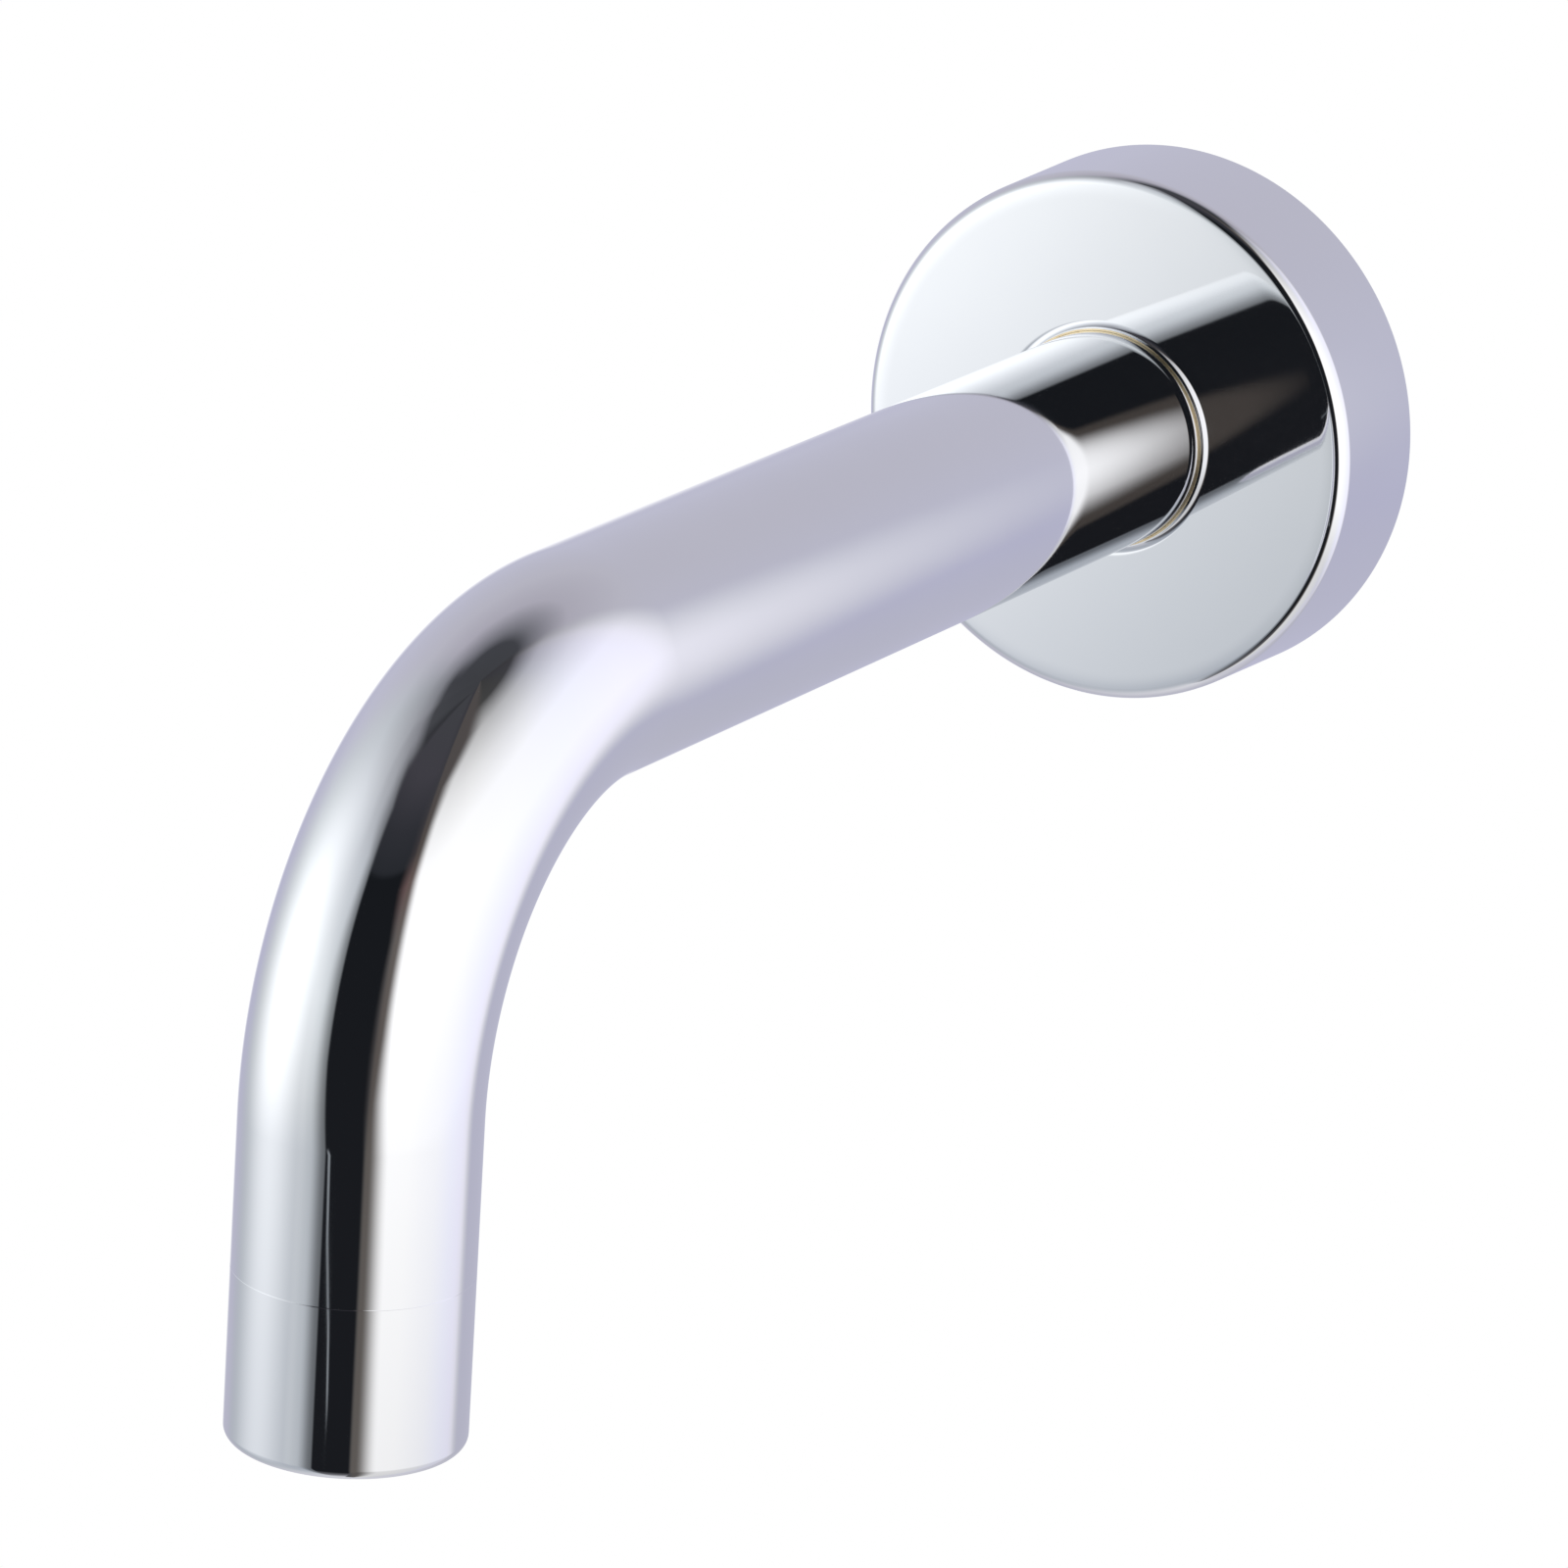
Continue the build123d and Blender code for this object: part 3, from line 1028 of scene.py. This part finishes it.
@dataclass
class Outlet:
    """The screwed outlet: spigot in the tube's end, housing on it, and the aerator stack inside.

    Attributes:
        foot: middle of the outlet face.
        radius: housing's outside radius.
        height: housing's height.
        shoulder: outlet face to the ledge that the cartridge hangs on.
        spigot_foot: outlet face to the spigot's lower end.
        spigot_top: outlet face to the spigot's upper end.
        datum: share of the thread's depth inside the plain wall, for both halves.
        turn_steps: points along one turn of the thread.
        wall_step: way between points on the housing's wall.
        wall_points: number of these points.
        housing_columns: points round the housing.
        spigot_columns: points round the spigot.
    """

    finishes: Finishes
    foot: Point
    radius: float
    height: float
    shoulder: float
    spigot_foot: float
    spigot_top: float
    seam_bevel: float = 0.05 * MM
    edge_round: float = 1.2 * MM
    opening: float = 9.0 * MM
    lip: float = 1.4 * MM
    lip_bevel: float = 0.3 * MM
    chamber: float = 9.7 * MM
    cartridge_flange: float = 2.0 * MM
    housing_bore: float = 10.725 * MM
    spigot_radius: float = 10.675 * MM
    spigot_bore: float = 8.7 * MM
    spigot_bevel: float = 0.5 * MM
    insert_radius: float = 11.25 * MM
    pitch: float = 1.0 * MM
    thread_depth: float = 0.54 * MM
    datum: float = 0.5
    turn_steps: int = 10
    wall_step: float = 2.0 * MM
    wall_points: int = 8
    housing_columns: int = 192
    spigot_columns: int = 128

    @classmethod
    def from_frame(cls, finishes: Finishes) -> "Outlet":
        """Read the outlet's sizes off the CAD nodes of the housing, the spigot and the cartridge."""
        low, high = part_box("aerator_housing")
        spigot_low, spigot_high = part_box("outlet_spigot")
        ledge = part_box("aerator_cartridge")[1].z - cls.cartridge_flange
        return cls(
            finishes,
            foot=(0.0, (low.y + high.y) / 2, low.z),
            radius=high.x,
            height=high.z - low.z,
            shoulder=ledge - low.z,
            spigot_foot=spigot_low.z - low.z,
            spigot_top=spigot_high.z - low.z,
        )

    def build_spigot(self) -> None:
        """Turn the spigot round the outlet's axis, with its thread in step with the housing's."""
        foot, wall = self.spigot_foot, self.spigot_radius
        thread = Thread(wall, foot, self.height, self.pitch, self.thread_depth, self.datum)
        section = Section.rounded([
            Corner(foot, self.spigot_bore),
            Corner(self.spigot_top, self.spigot_bore),
            Corner(self.spigot_top, self.insert_radius),
            Corner(self.height, self.insert_radius),
            Corner(self.height, wall, stations=thread.stations(self.turn_steps)),
            Corner(foot + self.spigot_bevel, wall),
            Corner(foot, wall - self.spigot_bevel),
        ])
        axis = Axle(self.foot, (0, 0, 1))
        mesh = carried("outlet_spigot_turned", section, axis, self.spigot_columns, thread)
        seat(mesh, [self.finishes.outlet_brass], "outlet_spigot")

    def build_housing(self) -> None:
        """Turn the housing round the outlet's axis, with its thread inside."""
        bore, top = self.housing_bore, self.height
        wall_stations = np.arange(1, self.wall_points + 1) * self.wall_step
        thread = Thread(bore, self.spigot_foot, top, self.pitch, self.thread_depth, self.datum)
        section = Section.rounded([
            Corner(0.0, self.opening + self.lip_bevel),
            Corner(self.lip_bevel, self.opening),
            *sharp(Skin.BRASS, (self.lip, self.opening), (self.lip, self.chamber)),
            *sharp(Skin.BRASS, (self.shoulder, self.chamber)),
            Corner(self.shoulder, bore, skin=Skin.BRASS, stations=thread.stations(self.turn_steps)),
            Corner(top, bore, skin=Skin.BRASS),
            Corner(top, self.radius - self.seam_bevel),
            Corner(top - self.seam_bevel, self.radius, stations=wall_stations),
            Corner(0.0, self.radius, self.edge_round),
        ])
        axis = Axle(self.foot, (0, 0, 1))
        mesh = carried("aerator_housing_cup", section, axis, self.housing_columns, thread)
        seat(mesh, [self.finishes.chrome, self.finishes.outlet_brass], "aerator_housing")

    def dress(self) -> None:
        """Finish the moulded stack inside the housing."""
        paint("aerator_washer", self.finishes.rubber)
        paint("aerator_cartridge", self.finishes.cage)
        paint("aerator_jet_plate", self.finishes.jets)
        paint("aerator_screen", self.finishes.strainer)


# The studio


def cloth(red: float, green: float, blue: float, plate: float = 0.875) -> Colour:
    """Light that a cloth gives off so that the plate shows a display colour, by the sRGB curve.

    Args:
        red: display red.
        green: display green.
        blue: display blue.
        plate: share of light that the plate sends back.

    Returns:
        Linear light.
    """
    shown = np.array([red, green, blue])
    linear = np.where(shown <= 0.04045, shown / 12.92, ((shown + 0.055) / 1.055) ** 2.4)
    return tuple(float(value) for value in linear / plate)


def hanging(*rows: tuple[float, float, float, float]) -> Tones:
    """A cloth by height: rows of a height in degrees and a display colour."""
    return tuple((height, cloth(*colour)) for height, *colour in rows)


@dataclass(frozen=True)
class Edge:
    """A soft upright edge: at some heights, the compass angle of its middle and half its width."""

    heights: tuple[float, ...]
    middle: tuple[float, ...]
    half: tuple[float, ...]


class Bearing:
    """Where a point of a shell lies from its middle, in degrees: compass 0 is the open side and 90 is +X."""

    CORE = 0.2
    SPAN = 180.0

    def __init__(self, web: Web, middle: Point) -> None:
        """Work out the compass angle and the height.

        Args:
            web: the shell's tree.
            middle: the point that the angles are taken from.
        """
        away = web.out("ShaderNodeVectorMath", {0: web.place(), 1: middle}, operation="SUBTRACT")
        x, y, z = web.split(web.out("ShaderNodeVectorMath", {0: away}, operation="NORMALIZE"))
        self.web = web
        self.compass = web.math("ARCTAN2", x, -y) * math.degrees(1.0)
        self.height = web.math("ARCSINE", z) * math.degrees(1.0)

    def shade(self, stops: Sequence[tuple[float, Colour]]) -> Wire:
        """A colour by height."""
        return self.web.ramp(self.height, stops)

    def past(self, edge: Edge) -> Wire:
        """How far the point lies past an edge: 0 before it and 1 after it."""
        return self._across(edge).rise(-1.0, 1.0)

    def on(self, edge: Edge) -> Wire:
        """How squarely the point lies on an edge's line: 1 in its core and 0 half its width away."""
        return self.web.math("ABSOLUTE", self._across(edge)).rise(1.0, self.CORE)

    def away(self, compass: float, height: float) -> Wire:
        """Degrees between the point and a place on the shell."""
        aside, above = self.compass - compass, self.height - height
        return self.web.math("SQRT", aside * aside + above * above)

    def _across(self, edge: Edge) -> Wire:
        """Way from an edge's middle, in half widths."""
        middle, half = (self._line(edge.heights, values) for values in (edge.middle, edge.half))
        return (self.compass - middle) / half

    def _line(self, heights: tuple[float, ...], values: tuple[float, ...]) -> Wire:
        """Degrees by height, read off a grey ramp that holds -90 to 90 as 0 to 1."""
        stops = [(place, (value / self.SPAN + 0.5,) * 3) for place, value in zip(heights, values)]
        return (self.shade(stops) - 0.5) * self.SPAN


@dataclass(frozen=True)
class SideCloth:
    """The cool left-hand cloth with the lamp's spot on it.

    Attributes:
        tones: the cloth by height.
        spot: the lamp's spot: angle, height, spread in both, strength.
    """

    tones: Tones = hanging(
        (-90.0, 0.84, 0.84, 0.86),
        (-58.0, 0.68, 0.70, 0.73),
        (-35.0, 0.62, 0.645, 0.68),
        (-10.0, 0.68, 0.70, 0.715),
        (12.0, 0.73, 0.755, 0.77),
        (40.0, 0.70, 0.72, 0.745),
        (58.0, 0.59, 0.60, 0.625),
        (66.0, 0.49, 0.495, 0.52),
        (71.5, 0.235, 0.24, 0.26),
        (90.0, 0.24, 0.245, 0.26),
    )
    spot: tuple[float, float, float, float, float] = (-55.0, 3.0, 20.5, 24.0, 0.93)

    def lit(self, at: Bearing, light: Wire) -> Wire:
        """Add the lamp's spot, which falls off as a bell curve in angle and height.

        Args:
            at: the place on the shell.
            light: the cloth without it.

        Returns:
            The cloth with it.
        """
        angle, height, wide, high, strength = self.spot
        across, upward = (at.compass - angle) / wide, (at.height - height) / high
        spot = at.web.math("EXPONENT", -0.5 * (across * across + upward * upward)) * strength
        return at.web.blend(spot, light, (1.0, 1.0, 1.0), "ADD")


@dataclass(frozen=True)
class TentCloth:
    """The light tent's inside, open at the front.

    Attributes:
        middle: the tent's middle.
        side: the left-hand cloth.
        back: lavender back cloth by height.
        turn: where the back cloth goes over into the left-hand one, and half its width.
        wall: light of the bright right-hand wall by height.
        wall_start: where that wall takes over from the left-hand cloth, all within the open side.
        wall_tint: how its light falls off towards the back, by compass angle.
        corner: where the wall meets the back cloth, and half its width.
        hem: where the left-hand cloth ends at the open side.
        front_edge: where the wall starts, at the open side's right.
        veil: sheer brown cloth that hangs beside that edge.
        veil_share: how much of what is behind it the veil hides.
        veil_edge: where the veil starts.
        paper: the lit paper behind: angle, height, full and vanishing radius.
        paper_light: the paper's light.
    """

    middle: Point
    side: SideCloth
    name: str = "tent_cloth"
    back: Tones = hanging(
        (-90.0, 0.84, 0.84, 0.86),
        (-58.0, 0.74, 0.74, 0.78),
        (-40.0, 0.70, 0.70, 0.75),
        (-15.0, 0.695, 0.695, 0.78),
        (10.0, 0.725, 0.725, 0.79),
        (40.0, 0.71, 0.705, 0.75),
        (58.0, 0.665, 0.655, 0.70),
        (71.0, 0.44, 0.44, 0.47),
        (76.0, 0.25, 0.255, 0.275),
        (90.0, 0.24, 0.245, 0.26),
    )
    turn: tuple[float, float] = (-100.0, 16.0)
    wall: tuple[tuple[float, float], ...] = (
        (-90.0, 0.72), (-40.0, 0.80), (-22.0, 1.15), (5.0, 1.25), (34.0, 1.15), (50.0, 0.89), (66.0, 0.55),
        (78.0, 0.06), (90.0, 0.05),
    )
    wall_start: tuple[float, float] = (0.0, 16.0)
    wall_tint: Tones = (
        (70.0, (1.0, 1.0, 1.0)),
        (100.0, (0.945, 0.95, 0.985)),
        (120.0, (0.885, 0.894, 1.0)),
        (135.0, (0.862, 0.854, 0.986)),
        (148.0, (0.80, 0.785, 0.86)),
    )
    corner: tuple[float, float] = (148.5, 8.5)
    hem: Edge = Edge(
        (-40.0, 0.0, 20.0, 44.0, 52.0, 60.0),
        (-22.0, -23.0, -27.0, -35.0, -48.0, -64.0),
        (4.0, 4.0, 4.0, 5.0, 6.0, 6.0),
    )
    front_edge: Edge = Edge(
        (-40.0, -25.0, -12.0, 0.0, 20.0, 33.0, 46.0, 56.0, 68.0),
        (48.0, 45.0, 41.8, 41.3, 39.8, 39.0, 41.0, 45.0, 62.0),
        (10.0, 9.0, 7.2, 5.2, 4.2, 4.2, 5.0, 8.0, 12.0),
    )
    veil: Colour = cloth(0.375, 0.345, 0.32)
    veil_share: float = 0.45
    veil_edge: Edge = Edge((-40.0, 50.0), (32.8, 32.8), (1.8, 1.8))
    paper: tuple[float, float, float, float] = (-139.0, -16.0, 5.0, 22.0)
    paper_light: Colour = (1.2, 1.2, 1.2)

    def make(self) -> Material:
        """Write the tent: back, left side, lamp spot, right wall, lit paper, then the veiled opening."""
        material, web = new_material(self.name)
        material.cycles.emission_sampling = "NONE"
        at = Bearing(web, self.middle)
        turn_middle, turn_half = self.turn
        corner_middle, corner_half = self.corner
        before_corner = at.compass.rise(corner_middle + corner_half, corner_middle - corner_half)
        on_side = at.compass.rise(turn_middle - turn_half, turn_middle + turn_half) * before_corner
        light = self.side.lit(at, web.blend(on_side, at.shade(self.back), at.shade(self.side.tones)))

        grey_wall = at.shade([(place, (value, value, value)) for place, value in self.wall])
        wall = web.blend(1.0, grey_wall, web.ramp(at.compass, self.wall_tint), "MULTIPLY")
        light = web.blend(at.compass.rise(*self.wall_start) * before_corner, light, wall)
        paper_angle, paper_height, paper_full, paper_end = self.paper
        on_paper = at.away(paper_angle, paper_height).rise(paper_end, paper_full)
        light = web.blend(on_paper, light, self.paper_light)

        veiled = at.past(self.veil_edge) * self.veil_share
        opening = web.mix(veiled, web.out("ShaderNodeBsdfTransparent"), web.glow(self.veil))
        is_open = at.past(self.hem) * (1.0 - at.past(self.front_edge))
        web.finish(web.mix(is_open, web.glow(light), opening))
        return material


@dataclass(frozen=True)
class RoomWalls:
    """The room behind the tent's open side: left-hand cloth going into shade, then dark, then a curtain.

    Attributes:
        middle: the point that the angles are taken from.
        side: the left-hand cloth.
        falling: where that cloth falls into shade.
        loss: share of its light that is lost there.
        left_edge: where it ends.
        dark: the room past it, by height, with the paler ceiling on top.
        curtain: brown curtain at the dark's right-hand side, by height.
        curtain_edge: where the curtain starts.
        pole: a leaning lamp pole in the dark: its line and half its thickness.
        pole_ends: heights where it starts to show at its foot, is seen in full, starts to fade, and ends.
        pole_light: its shine.
    """

    middle: Point
    side: SideCloth
    name: str = "room_walls"
    falling: Edge = Edge(
        (-20.0, 0.0, 20.0, 35.0, 44.0, 50.0, 56.0, 64.0),
        (-8.0, -11.5, -14.0, -15.5, -17.5, -23.0, -28.0, -40.0),
        (7.0, 7.0, 7.0, 6.0, 6.5, 12.0, 14.0, 18.0),
    )
    loss: float = 0.67
    left_edge: Edge = Edge(
        (-24.0, -19.0, -12.0, 0.0, 20.0, 38.0, 44.0, 50.0, 56.0, 64.0),
        (0.2, -0.2, -2.2, -5.2, -7.6, -10.6, -12.5, -15.5, -19.0, -34.0),
        (1.2, 1.2, 1.6, 1.4, 1.4, 1.6, 2.5, 3.0, 4.0, 8.0),
    )
    dark: Tones = hanging(
        (-90.0, 0.80, 0.80, 0.82),
        (-66.0, 0.40, 0.40, 0.42),
        (-40.0, 0.10, 0.105, 0.12),
        (41.0, 0.09, 0.098, 0.112),
        (42.4, 0.155, 0.163, 0.182),
        (52.0, 0.182, 0.186, 0.207),
        (66.0, 0.245, 0.24, 0.265),
        (90.0, 0.25, 0.255, 0.27),
    )
    curtain: Tones = hanging(
        (-41.0, 0.30, 0.30, 0.31),
        (-25.0, 0.36, 0.355, 0.35),
        (-10.0, 0.31, 0.30, 0.30),
        (6.5, 0.34, 0.325, 0.325),
        (25.0, 0.40, 0.385, 0.38),
        (37.0, 0.40, 0.325, 0.32),
        (44.5, 0.25, 0.23, 0.235),
        (62.0, 0.23, 0.23, 0.25),
    )
    curtain_edge: Edge = Edge(
        (-26.0, -12.0, 1.0, 25.0, 37.0, 48.0),
        (35.9, 35.2, 34.9, 34.0, 31.0, 33.0),
        (1.6, 4.3, 5.3, 4.3, 5.8, 6.3),
    )
    pole: Edge = Edge(
        (-22.3, -21.6, -20.8, -20.1, -19.0),
        (12.4, 10.2, 5.1, 3.4, 2.0),
        (1.3, 1.4, 1.5, 1.7, 1.8),
    )
    pole_ends: tuple[float, float, float, float] = (-22.5, -22.1, -20.0, -18.5)
    pole_light: Colour = cloth(0.50, 0.52, 0.54)

    def make(self) -> Material:
        """Write the room: shaded cloth with the lamp's spot, the dark past its end, curtain and pole."""
        material, web = new_material(self.name)
        material.cycles.emission_sampling = "NONE"
        at = Bearing(web, self.middle)
        lit = self.side.lit(at, at.shade(self.side.tones))
        light = web.blend(at.past(self.falling) * self.loss, lit, (0.0, 0.0, 0.0))
        light = web.blend(at.past(self.left_edge), light, at.shade(self.dark))
        light = web.blend(at.past(self.curtain_edge), light, at.shade(self.curtain))
        foot, full, fading, top = self.pole_ends
        shown = at.on(self.pole) * at.height.rise(foot, full) * at.height.rise(top, fading)
        web.finish(web.glow(web.blend(shown, light, self.pole_light)))
        return material


@dataclass(frozen=True)
class Lamp:
    """A soft square lamp that lights matt surfaces and stays out of the plate's reflections."""

    name: str
    place: Point
    size: float
    power: float

    def build(self) -> None:
        """Hang the lamp and aim it at the spout."""
        light = bpy.data.lights.new(self.name, "AREA")
        light.size, light.energy = self.size, self.power
        lamp = bpy.data.objects.new(self.name, light)
        lamp.location = self.place
        lamp.rotation_euler = Vector(self.place).to_track_quat("Z", "Y").to_euler()
        lamp.visible_glossy = lamp.visible_camera = False
        bpy.context.scene.collection.objects.link(lamp)


@dataclass
class Studio:
    """Tent, room, floor, world light, lamps and camera.

    Attributes:
        middle: middle of the light tent and of the room round it.
        tent_radius: how far the tent's cloth hangs from there.
        room_radius: how far the room's walls stand from there.
        shell_grid: points of each of them by height and by compass angle.
        floor_level: height of the floor, well below the outlet.
        floor_grid: points of the floor by radius and by angle.
        camera_place: where the camera stands.
        compass: camera's side, in degrees from -Y towards +X.
        elevation: camera's height above the horizon, in degrees.
        roll: camera's turn about its own axis, in degrees.
        lens: focal length in millimetres on the sensor's width.
    """

    middle: Point = (0.0, -0.13, 0.0)
    tent_radius: float = 0.42
    room_radius: float = 2.4
    shell_grid: tuple[int, int] = (97, 192)
    floor_level: float = -1.6
    floor_radius: float = 2.5
    floor_grid: tuple[int, int] = (13, 96)
    camera_place: Point = (0.434965, -0.900363, 0.260040)
    compass: float = 28.164712
    elevation: float = 17.139653
    roll: float = 3.561139
    lens: float = 204.767
    sensor: float = 36.0
    world_light: float = 0.8
    world_colour: Colour = (0.98, 0.985, 1.0)
    lamps: tuple[Lamp, ...] = (
        Lamp("left_lamp", (-1.9, -1.1, 0.9), 1.6, 14.0),
        Lamp("right_lamp", (1.9, -0.4, 1.1), 1.6, 12.0),
    )

    def build(self) -> None:
        """Set up everything round the spout."""
        side = SideCloth()
        self._shell("light_tent", self.tent_radius, TentCloth(self.middle, side).make())
        self._shell("room_walls", self.room_radius, RoomWalls(self.middle, side).make())
        self._floor()
        self._world()
        for lamp in self.lamps:
            lamp.build()
        self._camera()
        bpy.context.scene.view_settings.view_transform = "Standard"

    def _stage(self, name: str, points: Array, material: Material) -> Object:
        """Put a sheet on the set.

        Args:
            name: the sheet's name.
            points: (rows, columns, 3) metres.
            material: its finish.

        Returns:
            The staged object.
        """
        mesh = new_mesh(name, points, closed=False)
        mesh.materials.append(material)
        prop = bpy.data.objects.new(name, mesh)
        bpy.context.scene.collection.objects.link(prop)
        return prop

    def _shell(self, name: str, radius: float, material: Material) -> None:
        """Hang a sphere by height and compass angle, which only the plate's reflections see.

        Args:
            name: the shell's name.
            radius: its radius.
            material: its inside.
        """
        rows, columns = self.shell_grid
        height = np.radians(np.linspace(-90.0, 90.0, rows))[:, None]
        compass = np.radians(np.linspace(-180.0, 180.0, columns, endpoint=False))[None, :]
        x, y = np.cos(height) * np.sin(compass), -np.cos(height) * np.cos(compass)
        points = np.array(self.middle) + radius * np.stack([x, y, np.sin(height) + 0 * compass], -1)
        shell = self._stage(name, points, material)
        shell.visible_camera = shell.visible_diffuse = shell.visible_shadow = False

    def _floor(self) -> None:
        """Lay the floor: a disc by radius and angle."""
        rows, columns = self.floor_grid
        radius = np.linspace(0.0, self.floor_radius, rows)[:, None]
        angle = np.linspace(0.0, 2 * math.pi, columns, endpoint=False)[None, :]
        x, y = radius * np.cos(angle), radius * np.sin(angle)
        points = np.stack([x, y, np.full_like(x, self.floor_level)], -1)
        self._stage("studio_floor", points, FloorPaint().make()).visible_glossy = False

    def _world(self) -> None:
        """Light the room plainly; the camera, mirrors and glass see white."""
        world = bpy.data.worlds.new("studio_world")
        bpy.context.scene.world = world
        world.use_nodes = True
        web = Web(world.node_tree)
        path = web.node("ShaderNodeLightPath")
        kinds = ("Is Camera Ray", "Is Glossy Ray", "Is Transmission Ray")
        camera, glossy, through = (Wire(web, path.outputs[kind]) for kind in kinds)
        plain = {"Color": (*self.world_colour, 1.0), "Strength": self.world_light}
        white = {"Color": (1.0, 1.0, 1.0, 1.0), "Strength": 1.0}
        light, seen = (web.out("ShaderNodeBackground", sockets) for sockets in (plain, white))
        web.finish(web.mix(camera.most(glossy).most(through), light, seen), "ShaderNodeOutputWorld")

    def _camera(self) -> None:
        """Stand the camera where the photograph was taken from."""
        compass, elevation, roll = (math.radians(a) for a in (self.compass, self.elevation, self.roll))
        level_back = Vector((math.sin(compass), -math.cos(compass), 0.0))
        back = math.cos(elevation) * level_back + Vector((0.0, 0.0, math.sin(elevation)))
        level = (-back).cross(Vector((0.0, 0.0, 1.0))).normalized()
        upright = level.cross(-back)
        right = math.cos(roll) * level + math.sin(roll) * upright
        top = -math.sin(roll) * level + math.cos(roll) * upright
        data = bpy.data.cameras.new("studio_camera")
        data.lens, data.sensor_width = self.lens, self.sensor
        camera = bpy.data.objects.new("studio_camera", data)
        turn = Matrix((right, top, back)).transposed().to_4x4()
        camera.matrix_world = Matrix.Translation(self.camera_place) @ turn
        bpy.context.scene.collection.objects.link(camera)
        bpy.context.scene.camera = camera


def main() -> None:
    """Build and dress the spout, then set up the studio round it."""
    logging.basicConfig(level=logging.INFO, format="%(name)s: %(message)s")
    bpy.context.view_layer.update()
    finishes = Finishes()
    InletEnd.from_frame(finishes).build()
    Arm.from_frame(finishes).build()
    flange = WallFlange.from_frame(finishes)
    flange.build()
    flange.dress()
    outlet = Outlet.from_frame(finishes)
    outlet.build_spigot()
    outlet.build_housing()
    outlet.dress()
    Studio().build()


if __name__ == "__main__":
    main()
